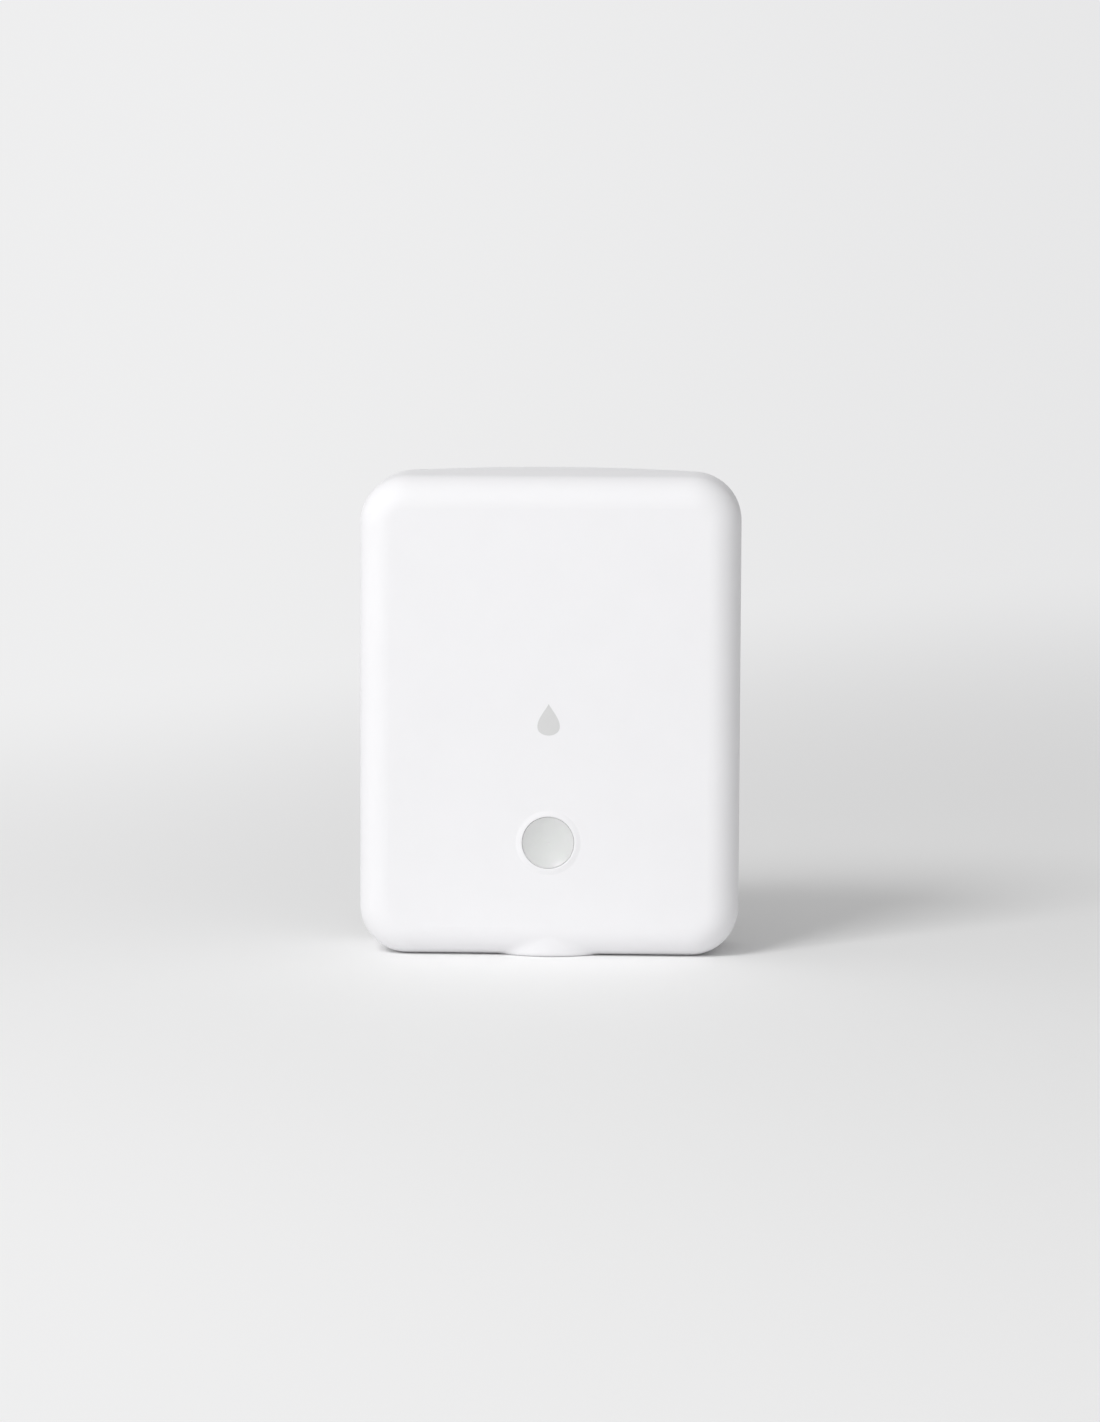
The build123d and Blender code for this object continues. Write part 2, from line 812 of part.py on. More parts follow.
with BuildPart() as board_screws:
    with BuildSketch(behind(board_front)):
        circles(probe_places, board_screw_head_radius)
    extrude(amount=board_screw_head_height)
    fillet(board_screws.edges().group_by(Axis.Y)[0], board_screw_head_height / 3)
    with BuildSketch(behind(board_front + board_screw_length)):
        circles(probe_places, board_screw_radius)
    extrude(amount=board_screw_length)
    with BuildSketch(behind(board_front - board_screw_head_height + board_screw_key_depth)):
        with Locations(*probe_places):
            RegularPolygon(board_screw_key, 6)
    extrude(amount=board_screw_key_depth, mode=Mode.SUBTRACT)
board_screws.part.label = "board_screws"
export_step(board_screws.part, "parts/board_screws.step")

# Socket body on the back of the board, its metal mouth reaching into the port
jack_y = y_at(jack_depth)
bush_top = jack_bottom + jack_bush_seat
with BuildPart() as jack_body:
    with BuildSketch(Plane.XY.offset(jack_bottom)):
        with Locations((0, jack_y)):
            Rectangle(jack_width, jack_thickness)
    extrude(amount=jack_top - jack_bottom)
    with BuildSketch(Plane.XY.offset(jack_bottom)):
        circles([(0, jack_y)], jack_bush_radius - fit_gap)
    extrude(amount=jack_bush_seat + fit_gap, mode=Mode.SUBTRACT)
    with BuildSketch(Plane.XY.offset(jack_bottom)):
        circles([(0, jack_y)], jack_bore_radius)
    extrude(amount=jack_top - jack_end_wall - jack_bottom, mode=Mode.SUBTRACT)
jack_body.part.label = "jack_body"
export_step(jack_body.part, "parts/jack_body.step")

with BuildPart() as jack_bush:
    with BuildSketch(Plane.XY.offset(jack_mouth_inset)):
        circles([(0, jack_y)], jack_bush_radius)
    extrude(amount=jack_bottom - jack_mouth_inset)
    with BuildSketch(Plane.XY.offset(jack_bottom)):
        circles([(0, jack_y)], jack_bush_radius - 2 * fit_gap)
    extrude(amount=jack_bush_seat)
    with BuildSketch(Plane.XY.offset(jack_mouth_inset)):
        circles([(0, jack_y)], jack_bore_radius)
    extrude(amount=bush_top - jack_mouth_inset, mode=Mode.SUBTRACT)
    chamfer(jack_bush.edges().group_by(Axis.Z)[0], loose_gap)
jack_bush.part.label = "jack_bush"
export_step(jack_bush.part, "parts/jack_bush.step")

# Solder legs of the socket's contacts: two on each side
leg_heights = [jack_bottom + (jack_top - jack_bottom) * share for share in (0.25, 0.75)]
with BuildPart() as jack_contacts:
    with BuildSketch(behind(board_back)):
        for side in (-1, 1):
            for z in leg_heights:
                with Locations((side * (jack_width + jack_leg_foot) / 2, z)):
                    Rectangle(jack_leg_foot, jack_leg_width)
    extrude(amount=-jack_leg_thickness)
    with BuildSketch(behind(board_back)):
        for side in (-1, 1):
            for z in leg_heights:
                with Locations((side * (jack_width + jack_leg_thickness) / 2, z)):
                    Rectangle(jack_leg_thickness, jack_leg_width)
    extrude(amount=-jack_leg_rise)
jack_contacts.part.label = "jack_contacts"
export_step(jack_contacts.part, "parts/jack_contacts.step")

# Seal between the socket and the case
with BuildPart() as port_seal:
    with BuildSketch(Plane.XY.offset(side_wall + fit_gap)):
        circles([(0, jack_y)], jack_bush_radius + fit_gap + port_seal_width)
        circles([(0, jack_y)], jack_bush_radius + fit_gap, mode=Mode.SUBTRACT)
    extrude(amount=port_seal_height)
port_seal.part.label = "port_seal"
export_step(port_seal.part, "parts/port_seal.step")

# Sounder: cup with a mouth towards the back wall, closed by its base
sounder_place = [(sounder_x, sounder_z)]
base_back = board_back + sounder_base_height
room_back = sounder_back - sounder_wall
with BuildPart() as sounder_case:
    with BuildSketch(behind(sounder_back)):
        circles(sounder_place, sounder_radius)
    extrude(amount=sounder_back - base_back)
    fillet(sounder_case.edges().group_by(Axis.Y)[-1], sounder_wall / 2)
    with BuildSketch(behind(room_back)):
        circles(sounder_place, sounder_radius - sounder_wall)
    extrude(amount=room_back - base_back, mode=Mode.SUBTRACT)
    with BuildSketch(behind(room_back)):
        circles(sounder_place, sounder_radius - sounder_wall)
        circles(sounder_place, diaphragm_radius - diaphragm_ledge, mode=Mode.SUBTRACT)
    extrude(amount=diaphragm_lift)
    with BuildSketch(behind(sounder_back)):
        circles(sounder_place, sounder_mouth_radius)
    extrude(amount=sounder_wall, mode=Mode.SUBTRACT)
sounder_case.part.label = "sounder_case"
export_step(sounder_case.part, "parts/sounder_case.step")

with BuildPart() as sounder_base:
    with BuildSketch(behind(base_back)):
        circles(sounder_place, sounder_radius)
    extrude(amount=sounder_base_height)
sounder_base.part.label = "sounder_base"
export_step(sounder_base.part, "parts/sounder_base.step")

with BuildPart() as sounder_coil:
    with BuildSketch(behind(base_back + coil_height)):
        circles(sounder_place, coil_radius)
        circles(sounder_place, coil_core_radius, mode=Mode.SUBTRACT)
    extrude(amount=coil_height)
sounder_coil.part.label = "sounder_coil"
export_step(sounder_coil.part, "parts/sounder_coil.step")

with BuildPart() as sounder_diaphragm:
    with BuildSketch(behind(room_back - diaphragm_lift)):
        circles(sounder_place, diaphragm_radius)
    extrude(amount=diaphragm_thickness)
sounder_diaphragm.part.label = "sounder_diaphragm"
export_step(sounder_diaphragm.part, "parts/sounder_diaphragm.step")

with BuildPart() as sound_gasket:
    with BuildSketch(behind(sounder_back + fit_gap + sound_gasket_height)):
        circles(sounder_place, sound_tube_radius + sound_tube_wall)
        circles(sounder_place, sound_tube_radius, mode=Mode.SUBTRACT)
    extrude(amount=sound_gasket_height)
sound_gasket.part.label = "sound_gasket"
export_step(sound_gasket.part, "parts/sound_gasket.step")

with BuildPart() as sound_membrane:
    with BuildSketch(behind(back_inner)):
        circles(sounder_place, membrane_radius)
    extrude(amount=membrane_thickness)
sound_membrane.part.label = "sound_membrane"
export_step(sound_membrane.part, "parts/sound_membrane.step")

# Radio module on the front of the board
radio_front = board_front - radio_board_thickness
with BuildPart() as radio_board:
    with BuildSketch(behind(board_front)):
        with Locations((0, radio_z)):
            Rectangle(radio_width, radio_length)
    extrude(amount=radio_board_thickness)
radio_board.part.label = "radio_board"
export_step(radio_board.part, "parts/radio_board.step")

with BuildPart() as radio_shield:
    with BuildSketch(behind(radio_front)):
        with Locations((0, radio_z - shield_drop)):
            RectangleRounded(shield_width, shield_length, shield_wall * 2)
    extrude(amount=shield_height)
    fillet(radio_shield.edges().group_by(Axis.Y)[0], shield_wall)
    with BuildSketch(behind(radio_front)):
        with Locations((0, radio_z - shield_drop)):
            RectangleRounded(
                shield_width - 2 * shield_wall, shield_length - 2 * shield_wall, shield_wall
            )
    extrude(amount=shield_height - shield_wall, mode=Mode.SUBTRACT)
radio_shield.part.label = "radio_shield"
export_step(radio_shield.part, "parts/radio_shield.step")

# Small parts on the front of the board
with BuildPart() as control_chip:
    with BuildSketch(behind(board_front)):
        with Locations(chip_place):
            Rectangle(chip_size, chip_size)
    extrude(amount=chip_height)
control_chip.part.label = "control_chip"
export_step(control_chip.part, "parts/control_chip.step")

with BuildPart() as crystal:
    with BuildSketch(behind(board_front)):
        with Locations(crystal_place):
            RectangleRounded(crystal_width, crystal_length, crystal_height / 2)
    extrude(amount=crystal_height)
crystal.part.label = "crystal"
export_step(crystal.part, "parts/crystal.step")

with BuildPart() as board_capacitors:
    with BuildSketch(behind(board_front)):
        with Locations(capacitor_row):
            with GridLocations(1, capacitor_pitch, 1, capacitor_count):
                Rectangle(capacitor_length, capacitor_width)
    extrude(amount=capacitor_height)
board_capacitors.part.label = "board_capacitors"
export_step(board_capacitors.part, "parts/board_capacitors.step")

with BuildPart() as board_resistors:
    with BuildSketch(behind(board_front)):
        with Locations(resistor_row):
            with GridLocations(1, resistor_pitch, 1, resistor_count):
                Rectangle(resistor_length, resistor_width)
    extrude(amount=resistor_height)
board_resistors.part.label = "board_resistors"
export_step(board_resistors.part, "parts/board_resistors.step")

with BuildPart() as temperature_sensor:
    with BuildSketch(behind(board_front)):
        with Locations(sensor_place):
            Rectangle(sensor_size, sensor_size)
    extrude(amount=sensor_height)
temperature_sensor.part.label = "temperature_sensor"
export_step(temperature_sensor.part, "parts/temperature_sensor.step")

# Bulk capacitor on the back of the board, beside the tub
with BuildPart() as bulk_capacitor:
    with BuildSketch(behind(board_back + bulk_base_height)):
        with Locations((bulk_x, bulk_z)):
            Rectangle(bulk_base, bulk_base)
    extrude(amount=bulk_base_height)
    with BuildSketch(behind(board_back + bulk_height)):
        circles([(bulk_x, bulk_z)], bulk_radius)
    extrude(amount=bulk_height - bulk_base_height)
    fillet(bulk_capacitor.edges().group_by(Axis.Y)[-1], bulk_base_height / 2)
bulk_capacitor.part.label = "bulk_capacitor"
export_step(bulk_capacitor.part, "parts/bulk_capacitor.step")
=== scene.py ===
"""Looks of a battery water leak detector: its finishes, its fine detail and its studio."""

import math

import bmesh
import bpy
from bpy.props import FloatProperty, FloatVectorProperty, IntProperty, PointerProperty
from mathutils import Matrix, Quaternion, Vector


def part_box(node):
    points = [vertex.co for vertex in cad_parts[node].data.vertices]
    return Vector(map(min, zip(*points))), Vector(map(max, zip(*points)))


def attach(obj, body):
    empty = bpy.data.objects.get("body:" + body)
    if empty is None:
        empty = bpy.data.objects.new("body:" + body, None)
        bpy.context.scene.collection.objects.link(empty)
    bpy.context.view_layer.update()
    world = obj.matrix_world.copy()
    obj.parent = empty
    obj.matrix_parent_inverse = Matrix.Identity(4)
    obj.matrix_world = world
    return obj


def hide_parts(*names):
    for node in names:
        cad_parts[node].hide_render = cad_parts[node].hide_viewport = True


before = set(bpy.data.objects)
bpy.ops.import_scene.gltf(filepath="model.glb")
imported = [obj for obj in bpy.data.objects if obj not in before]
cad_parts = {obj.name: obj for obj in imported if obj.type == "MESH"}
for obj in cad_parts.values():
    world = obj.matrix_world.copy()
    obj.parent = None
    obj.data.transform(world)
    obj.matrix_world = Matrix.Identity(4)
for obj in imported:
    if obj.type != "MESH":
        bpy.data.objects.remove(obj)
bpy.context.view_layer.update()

bl_info = {
    "name": "Water leak detector",
    "version": (1, 0, 0),
    "blender": (4, 5, 0),
    "location": "3D View > Sidebar > Leak detector",
    "description": "Finishes, fine parts and studio of a battery water leak detector",
    "category": "Object",
}

MM = 0.001
UP = Vector((0, 0, 1))
BACKWARDS = Vector((0, 1, 0))

# Colours that several pieces share
BLACK_PLASTIC = (0.016, 0.016, 0.018)
TIN = (0.66, 0.67, 0.68)
NICKEL = (0.64, 0.61, 0.56)

# Points of a mesh that are nearer than this become one, and edges steeper than this look sharp
MERGE_DISTANCE = 1e-7
SHARP_ANGLE = math.radians(35)

# The rim round the button stands this far out of the flat front
RIM_HEIGHT = 0.17 * MM

# Radius of the studs' and of the screws' heads
STUD_HEAD_RADIUS = 2.6 * MM
SCREW_HEAD_RADIUS = 2.4 * MM
# The key holes in the screws' heads: radius, and how far in the painted shade starts and ends
KEY_RADIUS = 1.75 * MM
KEY_SHADE_TOP = 0.2 * MM
KEY_SHADE_BOTTOM = 1.2 * MM

# Chip parts in a row on the board, and the distance from one to the next
CAPACITOR_COUNT = 4
CAPACITOR_PITCH = 3.2 * MM
RESISTOR_COUNT = 6
RESISTOR_PITCH = 2.4 * MM

# Places read from the frame
front_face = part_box("front_cover")[0].y + RIM_HEIGHT
board_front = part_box("circuit_board")[0].y
button_low, button_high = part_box("button")
button_centre = (button_low + button_high) / 2


class CaseSettings(bpy.types.PropertyGroup):
    """Colours and grain of the moulded case."""

    shell_colour: FloatVectorProperty(
        name="Shell colour", description="Colour of the white case plastic",
        subtype="COLOR", size=3, default=(0.906, 0.902, 0.918), min=0, max=1,
    )
    shell_roughness: FloatProperty(
        name="Shell roughness", description="How matt the case plastic is",
        default=0.54, min=0, max=1,
    )
    shell_gloss: FloatProperty(
        name="Shell gloss", description="Strength of the case plastic's reflections",
        default=0.2, min=0, max=1,
    )
    grain: FloatProperty(
        name="Grain", description="Width of the spark-eroded grain on the case",
        default=0.32 * MM, subtype="DISTANCE", unit="LENGTH",
    )
    ink_colour: FloatVectorProperty(
        name="Ink colour", description="Colour of the drop printed on the front",
        subtype="COLOR", size=3, default=(0.69, 0.69, 0.69), min=0, max=1,
    )
    drop_height: FloatProperty(
        name="Drop height", description="Height of the printed drop",
        default=5.7 * MM, subtype="DISTANCE", unit="LENGTH",
    )
    drop_z: FloatProperty(
        name="Drop position", description="Height of the printed drop's centre over the floor",
        default=42.9 * MM, subtype="DISTANCE", unit="LENGTH",
    )


class ButtonSettings(bpy.types.PropertyGroup):
    """Colours of the button's lens and of the lamps under it."""

    lens_colour: FloatVectorProperty(
        name="Lens colour", description="Colour of the translucent lens",
        subtype="COLOR", size=3, default=(0.742, 0.754, 0.745), min=0, max=1,
    )
    resin_colour: FloatVectorProperty(
        name="Lamp resin", description="Colour of the resin in the two lamps",
        subtype="COLOR", size=3, default=(0.80, 0.66, 0.22), min=0, max=1,
    )


class CellSettings(bpy.types.PropertyGroup):
    """Film and bands of the two cells."""

    film_colour: FloatVectorProperty(
        name="Film colour", description="Main colour of the cells' film",
        subtype="COLOR", size=3, default=(0.020, 0.120, 0.155), min=0, max=1,
    )
    band_colour: FloatVectorProperty(
        name="Band colour", description="Colour of the band at the plus end",
        subtype="COLOR", size=3, default=(0.58, 0.59, 0.60), min=0, max=1,
    )
    band_share: FloatProperty(
        name="Band share", description="Share of the cell's length that the band takes",
        default=0.27, min=0, max=1,
    )


class BoardSettings(bpy.types.PropertyGroup):
    """Colours of the circuit boards."""

    mask_colour: FloatVectorProperty(
        name="Solder mask", description="Colour of the board's solder mask",
        subtype="COLOR", size=3, default=(0.012, 0.105, 0.045), min=0, max=1,
    )
    pad_count: IntProperty(
        name="Chip pads", description="Pads along each side of the control chip",
        default=8, min=1,
    )


class StudioSettings(bpy.types.PropertyGroup):
    """Camera, lamps and floor."""

    distance: FloatProperty(
        name="Distance", description="From the camera to the middle of the detector",
        default=0.8949, subtype="DISTANCE", unit="LENGTH",
    )
    azimuth: FloatProperty(
        name="Azimuth", description="Turn of the camera round the detector, to its right",
        default=math.radians(2.173), subtype="ANGLE",
    )
    elevation: FloatProperty(
        name="Elevation", description="Height of the camera over the detector",
        default=math.radians(6.331), subtype="ANGLE",
    )
    roll: FloatProperty(
        name="Roll", description="Tilt of the camera about its own axis",
        default=math.radians(0.237), subtype="ANGLE",
    )
    focal_length: FloatProperty(
        name="Focal length", description="Focal length on a 36 mm sensor, in millimetres",
        default=125.8, min=1,
    )
    aim: FloatVectorProperty(
        name="Aim", description="Point that the camera looks at",
        subtype="XYZ", size=3, default=(-0.19 * MM, 0, 43.19 * MM),
    )
    key_power: FloatProperty(
        name="Key lamp", description="Power of the soft lamp at the front left, in watts",
        default=5.5, min=0,
    )
    key_way: FloatVectorProperty(
        name="Key direction", description="Direction from the detector to the soft lamp",
        subtype="DIRECTION", size=3, default=(-0.43, -0.62, 0.655),
    )
    key_distance: FloatProperty(
        name="Key distance", description="From the detector to the soft lamp",
        default=1.1, subtype="DISTANCE", unit="LENGTH",
    )
    key_size: FloatProperty(
        name="Key size", description="Width of the soft lamp",
        default=0.41, subtype="DISTANCE", unit="LENGTH",
    )
    air_strength: FloatProperty(
        name="Fill", description="Strength of the light from all round",
        default=0.42, min=0,
    )
    air_front: FloatProperty(
        name="Fill from the front", description="How much stronger the fill is from the front",
        default=0.56, min=0, max=1,
    )
    air_top: FloatProperty(
        name="Fill from above", description="How much stronger the fill is from above",
        default=0.13, min=0, max=1,
    )
    air_left: FloatProperty(
        name="Fill from the left", description="How much stronger the fill is from the left",
        default=0.42, min=0, max=1,
    )
    floor_colour: FloatVectorProperty(
        name="Floor colour", description="Colour of the pale floor",
        subtype="COLOR", size=3, default=(0.98, 0.98, 0.98), min=0, max=1,
    )
    # The two paper tones hold painted light: the far paper is darker on the right, away from the
    # lamp
    paper_left: FloatVectorProperty(
        name="Paper at the left", description="How the pale paper far off on the left is seen",
        subtype="COLOR", size=3, default=(0.858, 0.858, 0.862), min=0, max=1,
    )
    paper_right: FloatVectorProperty(
        name="Paper at the right", description="How the pale paper far off on the right is seen",
        subtype="COLOR", size=3, default=(0.797, 0.797, 0.802), min=0, max=1,
    )


class Wire:
    """An output of a shader node. Arithmetic on it adds Math nodes to the same tree."""

    def __init__(self, tree, socket=None):
        self.tree = tree
        self.socket = socket

    def add(self, kind, inputs=None, output=0, **settings):
        """A new node: its settings first, then each input's value or wire."""
        node = self.tree.nodes.new("ShaderNode" + kind)
        for name, value in settings.items():
            setattr(node, name, value)
        for name, value in (inputs or {}).items():
            if isinstance(value, Wire):
                self.tree.links.new(value.socket, node.inputs[name])
            else:
                node.inputs[name].default_value = value
        return Wire(self.tree, node.outputs[output] if node.outputs else None)

    def math(self, operation, *values, clamp=False):
        return self.add("Math", dict(enumerate(values)), operation=operation, use_clamp=clamp)

    def __add__(self, other):
        return self.math("ADD", self, other)

    def __radd__(self, other):
        return self.math("ADD", other, self)

    def __sub__(self, other):
        return self.math("SUBTRACT", self, other)

    def __rsub__(self, other):
        return self.math("SUBTRACT", other, self)

    def __mul__(self, other):
        return self.math("MULTIPLY", self, other)

    def __rmul__(self, other):
        return self.math("MULTIPLY", other, self)

    def __truediv__(self, other):
        return self.math("DIVIDE", self, other)

    def __pow__(self, other):
        return self.math("POWER", self, other)

    def __abs__(self):
        return self.math("ABSOLUTE", self)

    def above(self, edge, softness):
        """1 where the value is over edge and 0 under it, with a soft step between."""
        return self.add("MapRange", {
            "Value": self, "From Min": edge - softness / 2, "From Max": edge + softness / 2,
        })

    def ramp(self, start, end):
        """0 up to the start value and 1 from the end value on, with a smooth rise between."""
        inputs = {"Value": self, "From Min": start, "From Max": end}
        return self.add("MapRange", inputs, interpolation_type="SMOOTHSTEP")

    def below(self, edge, softness):
        """1 where the value is under edge and 0 over it, with a soft step between."""
        return 1 - self.above(edge, softness)

    def wave(self, pitch):
        """Sine of a distance, from -1 to 1, that repeats at that pitch."""
        return self.math("SINE", self * (math.tau / pitch))

    def place(self):
        """Position on the detector."""
        return self.add("TexCoord", output="Object")

    def way_from(self, point):
        """Direction from a fixed point to a position."""
        offset = self.add("VectorMath", {0: self, 1: point}, operation="SUBTRACT")
        return self.add("VectorMath", {0: offset}, operation="NORMALIZE")

    def length(self):
        """Distance of a position from the origin."""
        return self.add("VectorMath", {0: self}, output="Value", operation="LENGTH")

    def axis(self, name):
        """One coordinate of a position: X, Y or Z."""
        return self.add("SeparateXYZ", {"Vector": self}, output=name)

    def stretched(self, scale):
        """A position scaled along each axis."""
        return self.add("Mapping", {"Vector": self, "Scale": scale})

    def noise(self, size, detail=3.0):
        """Soft random value from 0 to 1 on a position, with features of that size."""
        return self.add("TexNoise", {"Vector": self, "Scale": 1 / size, "Detail": detail})

    def mix(self, factor, first, second):
        """A colour between two others."""
        inputs = {0: factor, 6: first, 7: second}
        return self.add("Mix", inputs, output=2, data_type="RGBA")

    def tinted(self, factor, colour, spread):
        """A colour that gets darker and lighter by spread as factor goes from 0 to 1."""
        return self.mix(factor, shade(colour, 1 - spread), shade(colour, 1 + spread))

    def bump(self, depth):
        """Surface relief from this height, depth being its real depth."""
        return self.add("Bump", {"Height": self, "Distance": depth, "Strength": 1.0})


def shade(colour, factor=1.0):
    """A colour made lighter or darker, with its alpha."""
    return (*(min(part * factor, 1.0) for part in colour[:3]), 1.0)


def empty_tree(owner):
    """The node tree of a new material or world, emptied."""
    owner.use_nodes = True
    owner.node_tree.nodes.clear()
    return Wire(owner.node_tree)


def finish(name, sockets):
    """A material whose main shader gets what sockets(start) returns."""
    material = bpy.data.materials.new(name)
    start = empty_tree(material)
    shader = start.add("BsdfPrincipled", sockets(start))
    start.add("OutputMaterial", {"Surface": shader})
    return material


def moulded(name, colour, roughness, grain, depth=6e-6, spread=0.012, gloss=0.5):
    """Moulded plastic: spark-eroded grain, slight sheen changes and a barely uneven colour."""
    def sockets(start):
        place = start.place()
        fine = place.noise(grain, 4.0)
        broad = place.noise(30 * grain, 2.0)
        return {
            "Base Color": start.tinted(broad, colour, spread),
            "Roughness": roughness + (fine - 0.5) * 0.10 + (broad - 0.5) * 0.06,
            "Normal": fine.bump(depth),
            "Specular IOR Level": gloss,
        }
    return finish(name, sockets)


def rubber(name, colour, grain=0.25 * MM):
    """Soft moulded rubber or silicone with a dusty bloom."""
    def sockets(start):
        place = start.place()
        fine = place.noise(grain, 5.0)
        bloom = place.noise(12 * grain, 3.0).above(0.55, 0.3)
        return {
            "Base Color": start.mix(bloom * 0.25, shade(colour), shade(colour, 1.35)),
            "Roughness": 0.68 + (fine - 0.5) * 0.2,
            "Normal": fine.bump(8e-6),
            "Sheen Weight": 0.15,
        }
    return finish(name, sockets)


def foam(name, colour, cell=0.35 * MM):
    """Open foam: round cells whose bottoms are darkened with painted shade."""
    def sockets(start):
        place = start.place()
        cells = start.add("TexVoronoi", {"Vector": place, "Scale": 1 / cell})
        wall = cells.above(0.35, 0.5)
        return {
            # Painted shade: the bottoms of the cells drop to 0.35 of the colour, the walls between
            # them rise to 1.2
            "Base Color": start.mix(wall, shade(colour, 0.35), shade(colour, 1.2)),
            "Roughness": 0.95,
            "Normal": wall.bump(0.08 * MM),
        }
    return finish(name, sockets)


def metal(name, colour, roughness, grain, stretch=(1, 1, 1), depth=2e-6, spread=0.06):
    """Plated or rolled metal, with its grain drawn out along the axes where stretch is small."""
    def sockets(start):
        lines = start.place().stretched(stretch).noise(grain, 4.0)
        stain = start.place().noise(40 * grain, 2.0)
        return {
            "Base Color": start.tinted(stain, colour, spread),
            "Metallic": 1.0,
            "Roughness": roughness + (lines - 0.5) * 0.18 + (stain - 0.5) * 0.08,
            "Normal": lines.bump(depth),
        }
    return finish(name, sockets)


def ring_radius(place, low, high):
    """Distance from the axis of the nearest of four round heads at the corners of a box."""
    centre = (low + high) / 2
    reach = (high - low) / 2
    across = abs(place.axis("X") - centre.x) - reach.x
    along = abs(place.axis("Z") - centre.z) - reach.z
    return (across * across + along * along) ** 0.5


def turned_metal(name, colour, roughness, low, high, key_radius=0.0, key_shade_y=(0.0, 0.0)):
    """Turned metal of four heads: fine rings round each axis, and painted shade in the key hole if
    it has one.
    """
    ring = 0.4 * MM

    def sockets(start):
        place = start.place()
        radius = ring_radius(place, low, high)
        rings = (radius + place.noise(1.5 * MM, 2.0) * ring * 0.5).wave(ring) * 0.5 + 0.5
        stain = place.noise(2.5 * MM, 3.0)
        tone = rings * 0.6 + stain * 0.4
        y = place.axis("Y")
        within = y.above(key_shade_y[0], 0.05 * MM) * y.below(key_shade_y[1], 0.05 * MM)
        # Painted shade: inside the key hole the colour drops to 0.3 of the metal's, where shade
        # falls in the recess
        hole = radius.below(key_radius, 0.02 * MM) * within
        return {
            "Base Color": start.mix(hole, start.tinted(tone, colour, 0.2), shade(colour, 0.3)),
            "Metallic": 1.0,
            "Roughness": roughness + (rings - 0.5) * 0.12 + (stain - 0.5) * 0.12,
            "Normal": rings.bump(8e-6),
        }
    return finish(name, sockets)


def lens_plastic(name, colour):
    """Satin translucent plastic with a trace of flow in it."""
    def sockets(start):
        place = start.place()
        fine = place.noise(0.2 * MM, 3.0)
        flow = place.noise(4 * MM, 2.0)
        return {
            "Base Color": start.tinted(flow, colour, 0.02),
            "Roughness": 0.32 + (fine - 0.5) * 0.08,
            "Normal": fine.bump(2e-6),
            "Subsurface Weight": 0.25,
            "Subsurface Radius": (1.2 * MM, 1.5 * MM, 1.2 * MM),
            "Subsurface Scale": 1.0,
            "Coat Weight": 0.15,
            "Coat Roughness": 0.25,
        }
    return finish(name, sockets)


def ink(name, colour, grain):
    """Pad-printed ink that follows the grain of the plastic under it."""
    def sockets(start):
        place = start.place()
        fine = place.noise(grain, 4.0)
        cover = place.noise(0.9 * MM, 2.0)
        return {
            "Base Color": start.tinted(cover, colour, 0.015),
            "Roughness": 0.55 + (fine - 0.5) * 0.1,
            "Normal": fine.bump(4e-6),
        }
    return finish(name, sockets)


def board_finish(name, colour, track_pitch, block):
    """Solder mask over copper: raised tracks, tinned vias and the glass weave faintly under it."""
    repeat = block * 0.8
    straight = block * 0.35
    largest_step = track_pitch * 2
    track_edge = track_pitch * 0.72
    weave_pitch = 0.7 * MM
    via_spacing = 3.4 * MM
    via_share = 0.10
    tinned = (0.72, 0.72, 0.70, 1)

    def tracks(start, across, along):
        """Straight tracks along one way that step aside at 45 degrees now and then."""
        run = start.math("PINGPONG", along, repeat)
        step = start.math("MAXIMUM", run - straight, 0.0)
        step = start.math("MINIMUM", step, largest_step)
        edge = start.math("PINGPONG", across + step, track_pitch)
        return edge.above(track_edge, track_pitch * 0.08)

    def sockets(start):
        place = start.place()
        x = place.axis("X")
        z = place.axis("Z")
        weave = x.wave(weave_pitch) * z.wave(weave_pitch)
        flat = start.add("CombineXYZ", {"X": x, "Y": 0.5 * block, "Z": z})
        blocks = start.add("TexChecker", {"Vector": flat, "Scale": 1 / block}, output="Fac")
        track = tracks(start, x, z) * blocks + tracks(start, z, x) * (1 - blocks)
        on_board = place.stretched((1, 0, 1))
        holes = start.add("TexVoronoi", {"Vector": on_board, "Scale": 1 / via_spacing})
        via = holes.below(via_share, 0.02)
        mask = start.mix(track, shade(colour), shade(colour, 1.9))
        return {
            "Base Color": start.mix(via, mask, tinned),
            "Metallic": via,
            "Roughness": 0.30 + weave * 0.04 + via * 0.1,
            "Normal": (track + via * 0.5 + weave * 0.05).bump(0.035 * MM),
        }
    return finish(name, sockets)


